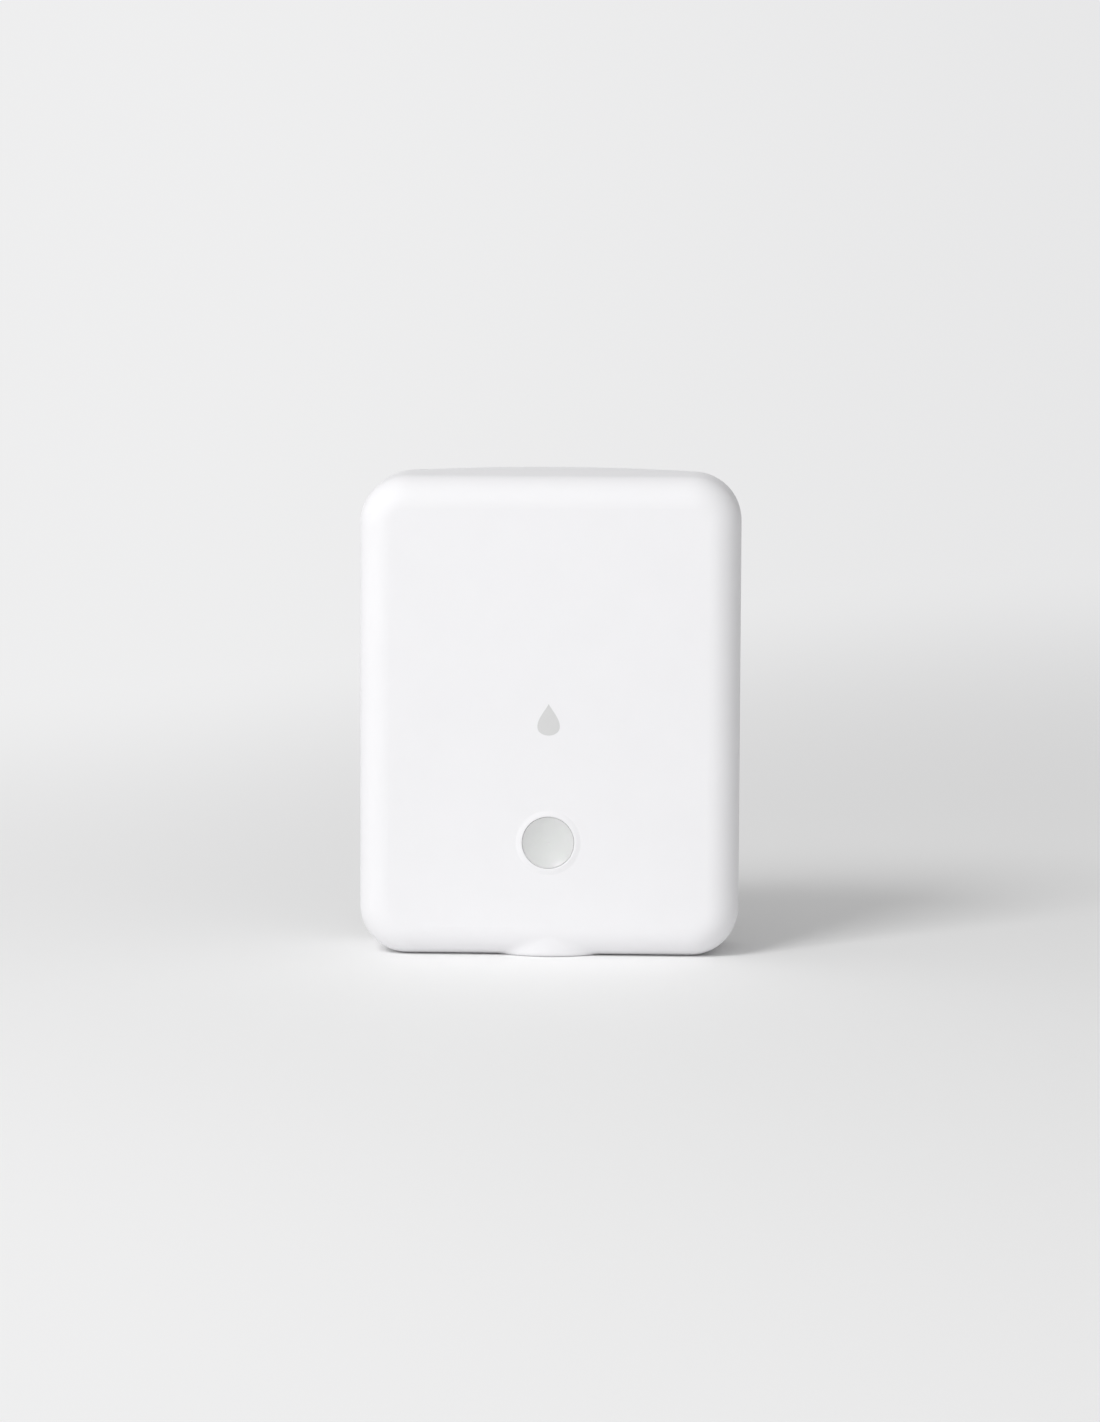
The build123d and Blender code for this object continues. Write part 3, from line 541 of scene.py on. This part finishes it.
def film_finish(name, settings, low, high, plus_up):
    """Printed film of a cell: a metallic band at the plus end, and a plus and a minus sign."""
    length = high.z - low.z
    centre = (low + high) / 2
    sign_reach = 1.3 * MM
    sign_half_width = 0.32 * MM
    sign_inset = 4.2 * MM
    line_inset = 0.9 * MM
    line_half_width = 0.15 * MM
    print_edge = 0.04 * MM
    pale_sign = (0.80, 0.80, 0.78, 1)
    way = 1 if plus_up else -1
    plus_z = centre.z + way * (length / 2 - sign_inset)
    minus_z = centre.z - way * (length / 2 - sign_inset)

    def sockets(start):
        place = start.place()
        across = abs(place.axis("X") - centre.x)
        z = place.axis("Z")
        facing = place.axis("Y").above(centre.y, 0.1 * MM)
        edge = centre.z + way * (0.5 - settings.band_share) * length
        band = z.above(edge, 0.05 * MM) if plus_up else z.below(edge, 0.05 * MM)
        line = abs(z - (edge - way * line_inset)).below(line_half_width, print_edge)

        def bar(distance_across, distance_along):
            wide = distance_across.below(sign_reach, print_edge)
            return wide * distance_along.below(sign_half_width, print_edge)

        up = abs(z - plus_z)
        down = abs(z - minus_z)
        signs = bar(across, up) + bar(up, across) + bar(across, down)
        signs = start.math("MINIMUM", signs, 1.0) * facing
        printed = start.mix(band, shade(settings.film_colour), shade(settings.band_colour))
        printed = start.mix(line, printed, shade(settings.band_colour, 1.2))
        sign = start.mix(band, pale_sign, shade(settings.film_colour, 0.6))
        grain = place.noise(0.5 * MM, 3.0)
        return {
            "Base Color": start.mix(signs, printed, sign),
            "Metallic": band * 0.75 * (1 - signs),
            "Roughness": 0.26 + (grain - 0.5) * 0.12,
            "Normal": grain.bump(4e-6),
            "Coat Weight": 0.4,
            "Coat Roughness": 0.12,
        }
    return finish(name, sockets)


def wound_copper(name, colour, wire=0.12 * MM):
    """Enamelled wire wound in layers round a core that runs from front to back, with painted shade
    between the turns.
    """
    def sockets(start):
        place = start.place()
        turns = place.axis("Y").wave(wire) * 0.5 + 0.5
        return {
            # Painted shade: the grooves between the turns drop to 0.45 of the wire's colour
            "Base Color": start.mix(turns, shade(colour, 0.45), shade(colour)),
            "Metallic": 0.9,
            "Roughness": 0.3 + (1 - turns) * 0.2,
            "Normal": turns.bump(0.04 * MM),
        }
    return finish(name, sockets)


def woven(name, colour, pitch=0.18 * MM):
    """Fine plain weave of the waterproof cloth behind the sound holes."""
    def sockets(start):
        place = start.place()
        weave = place.axis("X").wave(2 * pitch) * place.axis("Z").wave(2 * pitch) * 0.5 + 0.5
        return {
            "Base Color": start.mix(weave, shade(colour, 0.72), shade(colour)),
            "Roughness": 0.85,
            "Normal": weave.bump(0.03 * MM),
            "Sheen Weight": 0.2,
        }
    return finish(name, sockets)


def can_finish(name, colour, low, high, base_height=0.8 * MM):
    """Drawn aluminium can on a black base, with a black printed segment for its minus side."""
    centre = (low + high) / 2
    black = (0.02, 0.02, 0.02, 1)

    def sockets(start):
        place = start.place()
        lines = place.stretched((1, 0.05, 1)).noise(0.15 * MM, 4.0)
        segment = (place.axis("X") - centre.x).below(-0.4 * (high.x - centre.x), 0.05 * MM)
        can = place.axis("Y").above(low.y + base_height, 0.02 * MM)
        rear = place.axis("Y").above(centre.y, 0.05 * MM)
        bare = can * (1 - segment * rear)
        return {
            "Base Color": start.mix(bare, black, shade(colour)),
            "Metallic": bare,
            "Roughness": 0.32 + (lines - 0.5) * 0.2,
            "Normal": lines.bump(1.5e-6),
        }
    return finish(name, sockets)


def give(material, *nodes):
    """Puts a material on CAD nodes."""
    for node in nodes:
        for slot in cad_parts[node].material_slots:
            slot.material = material


def piece(name, bm, material, body="root"):
    """A new piece from a bmesh, at its place, that rides on a body."""
    mesh = bpy.data.meshes.new(name)
    bm.to_mesh(mesh)
    bm.free()
    mesh.materials.append(material)
    mesh.shade_smooth()
    mesh.set_sharp_from_angle(angle=SHARP_ANGLE)
    made = bpy.data.objects.new(name, mesh)
    bpy.context.scene.collection.objects.link(made)
    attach(made, body)
    return made


def turn_profile(bm, profile, steps=64):
    """Turns a profile of (radius, height) points round Z and closes the seam and the poles."""
    verts = [bm.verts.new((radius, 0, height)) for radius, height in profile]
    edges = [bm.edges.new(pair) for pair in zip(verts, verts[1:])]
    bmesh.ops.spin(
        bm, geom=verts + edges, cent=(0, 0, 0), axis=UP, angle=math.tau, steps=steps, use_merge=True
    )
    bmesh.ops.remove_doubles(bm, verts=bm.verts, dist=MERGE_DISTANCE)
    bmesh.ops.recalc_face_normals(bm, faces=bm.faces)


def add_block(bm, low, high, edge=0.0):
    """A block between two corners, with bevelled edges."""
    size = high - low
    place = Matrix.Translation((low + high) / 2) @ Matrix.Diagonal((*size, 1))
    made = bmesh.ops.create_cube(bm, size=1, matrix=place)
    if edge:
        around = dict.fromkeys(e for v in made["verts"] for e in v.link_edges)
        bmesh.ops.bevel(
            bm, geom=list(around), offset=edge, offset_type="OFFSET", segments=2,
            profile=0.5, affect="EDGES", material=-1,
        )


def arc(centre_radius, centre_height, radius, start, end, steps=5):
    """Points of an arc in a profile, from one angle to another in degrees."""
    angles = [math.radians(start + (end - start) * i / steps) for i in range(steps + 1)]
    return [
        (centre_radius + radius * math.cos(a), centre_height + radius * math.sin(a)) for a in angles
    ]


class DETECTOR_OT_finish_case(bpy.types.Operator):
    """Gives the shells and the battery door their moulded white finish"""

    bl_idname = "detector.finish_case"
    bl_label = "Finish the case"

    def execute(self, context):
        case = context.scene.detector_case
        white = moulded(
            "case_white", case.shell_colour, case.shell_roughness, case.grain,
            gloss=case.shell_gloss,
        )
        give(white, "front_cover", "back_shell", "battery_door")
        return {"FINISHED"}


class DETECTOR_OT_print_drop(bpy.types.Operator):
    """Prints a plain drop on the front"""

    bl_idname = "detector.print_drop"
    bl_label = "Print the drop"

    def execute(self, context):
        case = context.scene.detector_case
        half_height = case.drop_height / 2
        ink_thickness = 0.02 * MM
        taper = 1.5
        bm = bmesh.new()
        bmesh.ops.create_circle(bm, cap_ends=True, radius=1, segments=96)
        for vert in bm.verts:
            angle = math.atan2(vert.co.x, vert.co.y) % math.tau
            width = math.sin(angle) * math.sin(angle / 2) ** taper
            vert.co = (width * half_height, 0, vert.co.y * half_height)
        bmesh.ops.translate(bm, verts=bm.verts, vec=(0, front_face - ink_thickness, case.drop_z))
        made = bmesh.ops.extrude_face_region(bm, geom=bm.faces[:])
        moved = [v for v in made["geom"] if isinstance(v, bmesh.types.BMVert)]
        bmesh.ops.translate(bm, verts=moved, vec=BACKWARDS * ink_thickness)
        bmesh.ops.recalc_face_normals(bm, faces=bm.faces)
        piece("front_print", bm, ink("print_grey", case.ink_colour, case.grain))
        return {"FINISHED"}


class DETECTOR_OT_finish_button(bpy.types.Operator):
    """Finishes the lens, the switch under it and the two lamps"""

    bl_idname = "detector.finish_button"
    bl_label = "Finish the button"

    def execute(self, context):
        button = context.scene.detector_button
        give(lens_plastic("lens_green", button.lens_colour), "button")
        black = moulded("switch_black", BLACK_PLASTIC, roughness=0.5, grain=0.25 * MM)
        give(black, "switch_body", "switch_plunger")
        steel = metal("switch_tin", TIN, roughness=0.3, grain=0.2 * MM, stretch=(0.08, 1, 1))
        give(steel, "switch_frame", "switch_dome")
        white = moulded("lamp_white", (0.84, 0.83, 0.78), roughness=0.35, grain=0.2 * MM)
        give(white, "status_leds")
        self.add_resin(button)
        self.add_legs(steel)
        return {"FINISHED"}

    def add_resin(self, button):
        """Domed resin in the dish of each lamp."""
        low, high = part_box("status_leds")
        radius = 1.05 * MM
        lamp_half_width = 1.4 * MM
        depth = 0.35 * MM
        dome = [(0, 0), (radius, 0), (radius, depth * 0.6), (radius * 0.6, depth * 0.9), (0, depth)]
        forwards = Matrix.Rotation(math.pi / 2, 4, "X")
        bm = bmesh.new()
        for x in (low.x + lamp_half_width, high.x - lamp_half_width):
            part = bmesh.new()
            turn_profile(part, dome, 32)
            place = Matrix.Translation((x, low.y + depth, button_centre.z))
            bmesh.ops.transform(part, matrix=place @ forwards, verts=part.verts)
            mesh = bpy.data.meshes.new("part")
            part.to_mesh(mesh)
            bm.from_mesh(mesh)
            bpy.data.meshes.remove(mesh)
            part.free()
        resin = lens_plastic("lamp_resin", button.resin_colour)
        piece("lamp_resin", bm, resin)

    def add_legs(self, steel):
        """Four bent legs that solder the switch to the board."""
        low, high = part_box("switch_body")
        width = 0.7 * MM
        thickness = 0.15 * MM
        reach = 0.9 * MM
        rise = 0.8 * MM
        inset = 0.75 * MM
        bm = bmesh.new()
        for side in (-1, 1):
            edge = high.x if side > 0 else low.x
            bend = edge + side * thickness
            upright = (edge, bend, board_front - rise)
            foot = (bend, edge + side * reach, board_front - thickness)
            for z in (low.z + inset, high.z - inset - width):
                for near, far, front in (upright, foot):
                    left, right = sorted((near, far))
                    add_block(
                        bm, Vector((left, front, z)), Vector((right, board_front, z + width)),
                        thickness / 4,
                    )
        piece("switch_legs", bm, steel)


class DETECTOR_OT_finish_seals(bpy.types.Operator):
    """Finishes the rubber seals and the foam"""

    bl_idname = "detector.finish_seals"
    bl_label = "Finish the seals"

    def execute(self, context):
        grey = rubber("silicone_grey", (0.27, 0.28, 0.29))
        give(grey, "case_gasket", "door_gasket", "button_seal", "port_seal")
        give(rubber("rubber_black", (0.018, 0.018, 0.018)), "probe_seals")
        give(foam("foam_grey", (0.055, 0.055, 0.058)), "door_pad", "sound_gasket")
        return {"FINISHED"}


class DETECTOR_OT_finish_metalwork(bpy.types.Operator):
    """Finishes the studs, screws and pillars"""

    bl_idname = "detector.finish_metalwork"
    bl_label = "Finish the metalwork"

    def execute(self, context):
        low, high = self.head_axes("probe_studs", STUD_HEAD_RADIUS)
        studs = turned_metal("stainless", (0.42, 0.42, 0.43), roughness=0.2, low=low, high=high)
        give(studs, "probe_studs")
        low, high = self.head_axes("case_screws", SCREW_HEAD_RADIUS)
        screws = turned_metal(
            "zinc_steel", (0.44, 0.45, 0.46), roughness=0.33, low=low, high=high,
            key_radius=KEY_RADIUS, key_shade_y=(high.y - KEY_SHADE_BOTTOM, high.y - KEY_SHADE_TOP),
        )
        give(screws, "case_screws")
        zinc = metal("board_screw_zinc", (0.56, 0.58, 0.60), roughness=0.33, grain=0.15 * MM)
        give(zinc, "board_screws")
        brass = metal(
            "brass", (0.62, 0.44, 0.17), roughness=0.28, grain=0.12 * MM, stretch=(1, 0.1, 1),
        )
        give(brass, "probe_standoffs")
        return {"FINISHED"}

    def head_axes(self, node, head_radius):
        """Two corners of a box whose upright edges are the axes of a node's four round heads."""
        low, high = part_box(node)
        inwards = Vector((head_radius, 0, head_radius))
        return low + inwards, high - inwards


class DETECTOR_OT_build_cells(bpy.types.Operator):
    """Builds the two cells: a steel can and cap in a printed film"""

    bl_idname = "detector.build_cells"
    bl_label = "Build the cells"

    film_thickness = 0.1 * MM
    corner = 0.5 * MM
    nub_height = 0.8 * MM
    nub_radius = 1.9 * MM

    def execute(self, context):
        settings = context.scene.detector_cells
        steel = metal(
            "cell_steel", (0.66, 0.65, 0.63), roughness=0.22, grain=0.15 * MM, stretch=(1, 1, 0.1),
        )
        for side, plus_up in (("left", True), ("right", False)):
            node = f"battery_{side}"
            low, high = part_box(node)
            film = film_finish(f"cell_film_{side}", settings, low, high, plus_up)
            body = self.turned(self.can_profile(low, high), low, high, plus_up)
            can = piece(f"cell_can_{side}", body, steel)
            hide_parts(node)
            wrap = self.turned(self.film_profile(low, high), low, high, plus_up)
            piece(f"cell_film_{side}", wrap, film)
        return {"FINISHED"}

    def turned(self, profile, low, high, plus_up):
        """A bmesh turned from a profile, set on the cell's axis with its plus end up or down."""
        bm = bmesh.new()
        turn_profile(bm, profile)
        centre = (low + high) / 2
        middle = Matrix.Translation((0, 0, -(high.z - low.z) / 2))
        way = Matrix.Identity(4) if plus_up else Matrix.Rotation(math.pi, 4, "X")
        bmesh.ops.transform(bm, matrix=Matrix.Translation(centre) @ way @ middle, verts=bm.verts)
        return bm

    def can_profile(self, low, high):
        """Can with a flat minus end, a crimped groove round the plus end and its nub."""
        t = self.film_thickness
        c = self.corner
        outer = (high.x - low.x) / 2 - t
        top = high.z - low.z
        shoulder = top - self.nub_height - t
        nub = self.nub_radius
        groove = 0.45 * MM
        soft = 0.25 * MM
        hollow = 2.7 * MM
        hollow_slope = 0.2 * MM
        profile = [(0, t + soft), (hollow, t + soft), (hollow + hollow_slope, t)]
        profile += arc(outer - c, t + c, c, -90, 0)
        profile += arc(outer - c, shoulder - c, c, 0, 90)
        profile += [(outer - 2 * c, shoulder), (outer - 2.6 * c, shoulder - groove)]
        profile += [(nub + 2 * soft, shoulder - groove), (nub + soft, shoulder)]
        profile += [(nub, shoulder + soft)]
        profile += arc(nub - soft, top - soft, soft, 0, 90)
        profile += [(0, top)]
        return profile

    def film_profile(self, low, high):
        """Shrunk film that folds over both ends of the can."""
        t = self.film_thickness
        c = self.corner + t
        outer = (high.x - low.x) / 2
        shoulder = high.z - low.z - self.nub_height
        fold = 0.55 * MM
        profile = [(outer - c - fold, 0)]
        profile += arc(outer - c, c, c, -90, 0)
        profile += arc(outer - c, shoulder - c, c, 0, 90)
        profile += [(outer - c - fold, shoulder), (outer - c - fold, shoulder - t)]
        profile += arc(outer - c, shoulder - c, c - t, 90, 0)
        profile += arc(outer - c, c, c - t, 0, -90)
        profile += [(outer - c - fold, t), (outer - c - fold, 0)]
        return profile


class DETECTOR_OT_finish_contacts(bpy.types.Operator):
    """Finishes the battery contacts and the lead socket"""

    bl_idname = "detector.finish_contacts"
    bl_label = "Finish the contacts"

    def execute(self, context):
        rolled = metal("nickel_plate", NICKEL, roughness=0.24, grain=0.2 * MM, stretch=(0.08, 1, 1))
        give(rolled, "negative_contact", "positive_contact", "bridge_contact", "jack_contacts")
        wire = metal("nickel_wire", NICKEL, roughness=0.2, grain=0.15 * MM)
        give(wire, "contact_springs")
        turned = metal(
            "nickel_turned", NICKEL, roughness=0.22, grain=0.12 * MM, stretch=(1, 1, 0.3),
        )
        give(turned, "jack_bush")
        black = moulded("socket_black", BLACK_PLASTIC, roughness=0.45, grain=0.25 * MM)
        give(black, "jack_body")
        return {"FINISHED"}


class DETECTOR_OT_finish_board(bpy.types.Operator):
    """Finishes the boards and the parts on them"""

    bl_idname = "detector.finish_board"
    bl_label = "Finish the board"

    def execute(self, context):
        board = context.scene.detector_board
        mask = board.mask_colour
        green = board_finish("board_green", mask, track_pitch=0.9 * MM, block=11 * MM)
        give(green, "circuit_board")
        mask = shade(mask, 0.7)[:3]
        green = board_finish("radio_green", mask, track_pitch=0.6 * MM, block=7 * MM)
        give(green, "radio_board")
        tin = metal("shield_tin", TIN, roughness=0.28, grain=0.3 * MM, stretch=(1, 1, 0.08))
        give(tin, "radio_shield", "crystal")
        epoxy = moulded("chip_epoxy", (0.014, 0.014, 0.016), roughness=0.55, grain=0.12 * MM)
        give(epoxy, "control_chip", "temperature_sensor")
        low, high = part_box("bulk_capacitor")
        give(can_finish("can_aluminium", (0.70, 0.71, 0.72), low, high), "bulk_capacitor")
        self.add_chip_pads(board.pad_count, tin)
        self.add_small_parts(
            "board_capacitors", "capacitor", CAPACITOR_COUNT, CAPACITOR_PITCH, tin, "ceramic_tan",
            moulded("ceramic_tan", (0.34, 0.22, 0.11), roughness=0.4, grain=0.1 * MM),
        )
        self.add_small_parts(
            "board_resistors", "resistor", RESISTOR_COUNT, RESISTOR_PITCH, tin, "chip_black",
            moulded("resistor_black", (0.02, 0.02, 0.024), roughness=0.35, grain=0.1 * MM),
        )
        return {"FINISHED"}

    def add_chip_pads(self, count, tin):
        """Tinned pads that show along the four sides of the control chip."""
        low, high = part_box("control_chip")
        centre = (low + high) / 2
        half = (high.x - low.x) / 2
        pitch = 2 * half / (count + 1)
        pad = 0.35 * MM
        proud = 0.12 * MM
        height = 0.25 * MM
        bm = bmesh.new()
        for turn in range(4):
            spin = Matrix.Translation(centre) @ Matrix.Rotation(turn * math.pi / 2, 4, "Y")
            before = len(bm.verts)
            for i in range(count):
                x = -half + pitch * (i + 1)
                base = board_front - centre.y
                add_block(
                    bm, Vector((x - pad / 2, base - height, half)),
                    Vector((x + pad / 2, base, half + proud)), proud / 4,
                )
            bm.verts.ensure_lookup_table()
            bmesh.ops.transform(bm, matrix=spin, verts=bm.verts[before:])
        piece("chip_pads", bm, tin)

    def add_small_parts(self, node, name, count, pitch, tin, slot, body):
        """A row of chip parts with tinned ends, in place of the plain blocks of a node."""
        low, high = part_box(node)
        length = high.z - low.z - pitch * (count - 1)
        end = (high.x - low.x) * 0.2
        shy = 0.03 * MM
        bodies = bmesh.new()
        ends = bmesh.new()
        for i in range(count):
            bottom = low.z + pitch * i
            add_block(
                bodies, Vector((low.x + shy, low.y + shy, bottom + shy)),
                Vector((high.x - shy, high.y - shy, bottom + length - shy)), shy,
            )
            for left in (low.x, high.x - end):
                add_block(
                    ends, Vector((left, low.y, bottom)),
                    Vector((left + end, high.y, bottom + length)), 2 * shy,
                )
        made = piece(f"{name}_bodies", bodies, body)
        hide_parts(node)
        piece(f"{name}_ends", ends, tin)


class DETECTOR_OT_finish_sounder(bpy.types.Operator):
    """Finishes the sounder and its cloth"""

    bl_idname = "detector.finish_sounder"
    bl_label = "Finish the sounder"

    def execute(self, context):
        black = moulded("sounder_black", BLACK_PLASTIC, roughness=0.42, grain=0.25 * MM)
        give(black, "sounder_case", "sounder_base")
        give(wound_copper("copper", (0.62, 0.26, 0.12)), "sounder_coil")
        tin = metal("diaphragm_tin", TIN, roughness=0.3, grain=0.2 * MM)
        give(tin, "sounder_diaphragm")
        give(woven("membrane_white", (0.74, 0.74, 0.73)), "sound_membrane")
        return {"FINISHED"}


class DETECTOR_OT_set_studio(bpy.types.Operator):
    """Sets the camera, the pale floor, the soft lamp and the light from all round"""

    bl_idname = "detector.set_studio"
    bl_label = "Set the studio"

    def execute(self, context):
        studio = context.scene.detector_studio
        self.set_camera(context.scene, studio)
        self.set_floor(studio)
        self.set_lamp(context.scene, studio)
        self.set_air(context.scene, studio)
        context.scene.view_settings.view_transform = "Standard"
        return {"FINISHED"}

    def set_camera(self, scene, studio):
        flat = math.cos(studio.elevation)
        back = Vector((
            math.sin(studio.azimuth) * flat,
            -math.cos(studio.azimuth) * flat,
            math.sin(studio.elevation),
        ))
        data = bpy.data.cameras.new("studio_camera")
        data.lens = studio.focal_length
        data.clip_start = 0.01
        camera = bpy.data.objects.new("studio_camera", data)
        camera.location = Vector(studio.aim) + back * studio.distance
        camera.rotation_mode = "QUATERNION"
        camera.rotation_quaternion = (-back).to_track_quat("-Z", "Y") @ Quaternion(UP, studio.roll)
        scene.collection.objects.link(camera)
        scene.camera = camera

    def set_floor(self, studio):
        floor_radius = 30
        bm = bmesh.new()
        bmesh.ops.create_circle(bm, cap_ends=True, radius=floor_radius, segments=64)
        mesh = bpy.data.meshes.new("studio_floor")
        bm.to_mesh(mesh)
        bm.free()
        mesh.materials.append(floor_finish("pale_floor", studio))
        floor = bpy.data.objects.new("studio_floor", mesh)
        bpy.context.scene.collection.objects.link(floor)

    def set_lamp(self, scene, studio):
        data = bpy.data.lights.new("key_lamp", "AREA")
        data.energy = studio.key_power
        data.size = studio.key_size
        lamp = bpy.data.objects.new("key_lamp", data)
        way = Vector(studio.key_way).normalized()
        lamp.location = Vector(studio.aim) + way * studio.key_distance
        lamp.rotation_mode = "QUATERNION"
        lamp.rotation_quaternion = (-way).to_track_quat("-Z", "Y")
        scene.collection.objects.link(lamp)

    def set_air(self, scene, studio):
        world = bpy.data.worlds.new("studio_air")
        start = empty_tree(world)
        seen = seen_directly(start)
        way = start.add("TexCoord", output="Generated")
        level = 1 - way.axis("Y") * studio.air_front - way.axis("X") * studio.air_left
        level = (level + way.axis("Z") * studio.air_top) * studio.air_strength
        light = start.add("Background", {"Color": (1, 1, 1, 1), "Strength": level})
        # What the camera sees of the air gets the paper's painted fall-off of light, darker on the
        # right
        pale = start.add("Background", {"Color": paper_colour(way, studio), "Strength": 1.0})
        start.add("OutputWorld", {"Surface": start.add("MixShader", {0: seen, 1: light, 2: pale})})
        scene.world = world


def seen_directly(start):
    """1 for what the camera sees, and for what shows in gloss or through glass."""
    kinds = ("Is Camera Ray", "Is Glossy Ray", "Is Transmission Ray")
    camera, gloss, glass = (start.add("LightPath", output=kind) for kind in kinds)
    return start.math("ADD", camera + gloss, glass, clamp=True)


# The paper's two tones meet over this much of a direction, either side of straight ahead
PAPER_REACH = 0.12
# Directions to the floor start this far under it, in front, so that the tones meet softly
PAPER_DROP = 0.3
# The floor is seen as far paper from these distances on, at the left and at the right
PAPER_NEAR = 0.45
PAPER_FAR = 0.90
# At the left it starts to pale this much nearer than the detector itself
PAPER_LEAD = 0.10


def paper_colour(way, studio):
    """Tone of the far paper in a direction from the front: paler on the left than on the right, a
    painted fall-off of the light from the left.
    """
    across = way.axis("X").ramp(-PAPER_REACH, PAPER_REACH)
    return way.mix(across, shade(studio.paper_left), shade(studio.paper_right))


def floor_finish(name, studio):
    """Pale paper that takes the detector's shadow, and further back is seen as pale paper whose
    painted fall-off of light makes it darker on the right.
    """
    material = bpy.data.materials.new(name)
    start = empty_tree(material)
    place = start.place()
    grain = place.noise(1.5 * MM, 3.0)
    lit = start.add("BsdfPrincipled", {
        "Base Color": shade(studio.floor_colour),
        "Roughness": 0.75 + (grain - 0.5) * 0.1,
        "Specular IOR Level": 0.1,
    })
    way = place.way_from((0, -studio.distance, -PAPER_DROP))
    across = way.axis("X").ramp(-PAPER_REACH, PAPER_REACH)
    lead = PAPER_LEAD * (1 - across)
    reach = (PAPER_FAR - PAPER_NEAR - PAPER_LEAD) * across + PAPER_NEAR + PAPER_LEAD
    back = ((place.length() + lead) / reach).ramp(0, 1)
    pale = start.add("BsdfPrincipled", {
        "Base Color": (0, 0, 0, 1),
        "Specular IOR Level": 0.0,
        "Emission Color": paper_colour(way, studio),
        "Emission Strength": 1.0,
    })
    share = seen_directly(start) * back
    start.add("OutputMaterial", {"Surface": start.add("MixShader", {0: share, 1: lit, 2: pale})})
    return material


class DETECTOR_PT_panel(bpy.types.Panel):
    """Lists the steps that dress the detector"""

    bl_idname = "DETECTOR_PT_panel"
    bl_label = "Leak detector"
    bl_space_type = "VIEW_3D"
    bl_region_type = "UI"
    bl_category = "Leak detector"

    def draw(self, context):
        column = self.layout.column(align=True)
        for step in STEPS:
            column.operator(step.bl_idname)
        for name, group in SETTINGS.items():
            settings = getattr(context.scene, name)
            for value in group.__annotations__:
                self.layout.prop(settings, value)


SETTINGS = {
    "detector_case": CaseSettings,
    "detector_button": ButtonSettings,
    "detector_cells": CellSettings,
    "detector_board": BoardSettings,
    "detector_studio": StudioSettings,
}
STEPS = (
    DETECTOR_OT_set_studio,
    DETECTOR_OT_finish_case,
    DETECTOR_OT_print_drop,
    DETECTOR_OT_finish_button,
    DETECTOR_OT_finish_seals,
    DETECTOR_OT_finish_metalwork,
    DETECTOR_OT_build_cells,
    DETECTOR_OT_finish_contacts,
    DETECTOR_OT_finish_board,
    DETECTOR_OT_finish_sounder,
)
CLASSES = (*SETTINGS.values(), *STEPS, DETECTOR_PT_panel)


def register():
    for made in CLASSES:
        bpy.utils.register_class(made)
    for name, group in SETTINGS.items():
        setattr(bpy.types.Scene, name, PointerProperty(type=group))


def unregister():
    for name in SETTINGS:
        delattr(bpy.types.Scene, name)
    for made in reversed(CLASSES):
        bpy.utils.unregister_class(made)


def main():
    register()
    for step in STEPS:
        group, name = step.bl_idname.split(".")
        getattr(getattr(bpy.ops, group), name)()


if __name__ == "__main__":
    main()
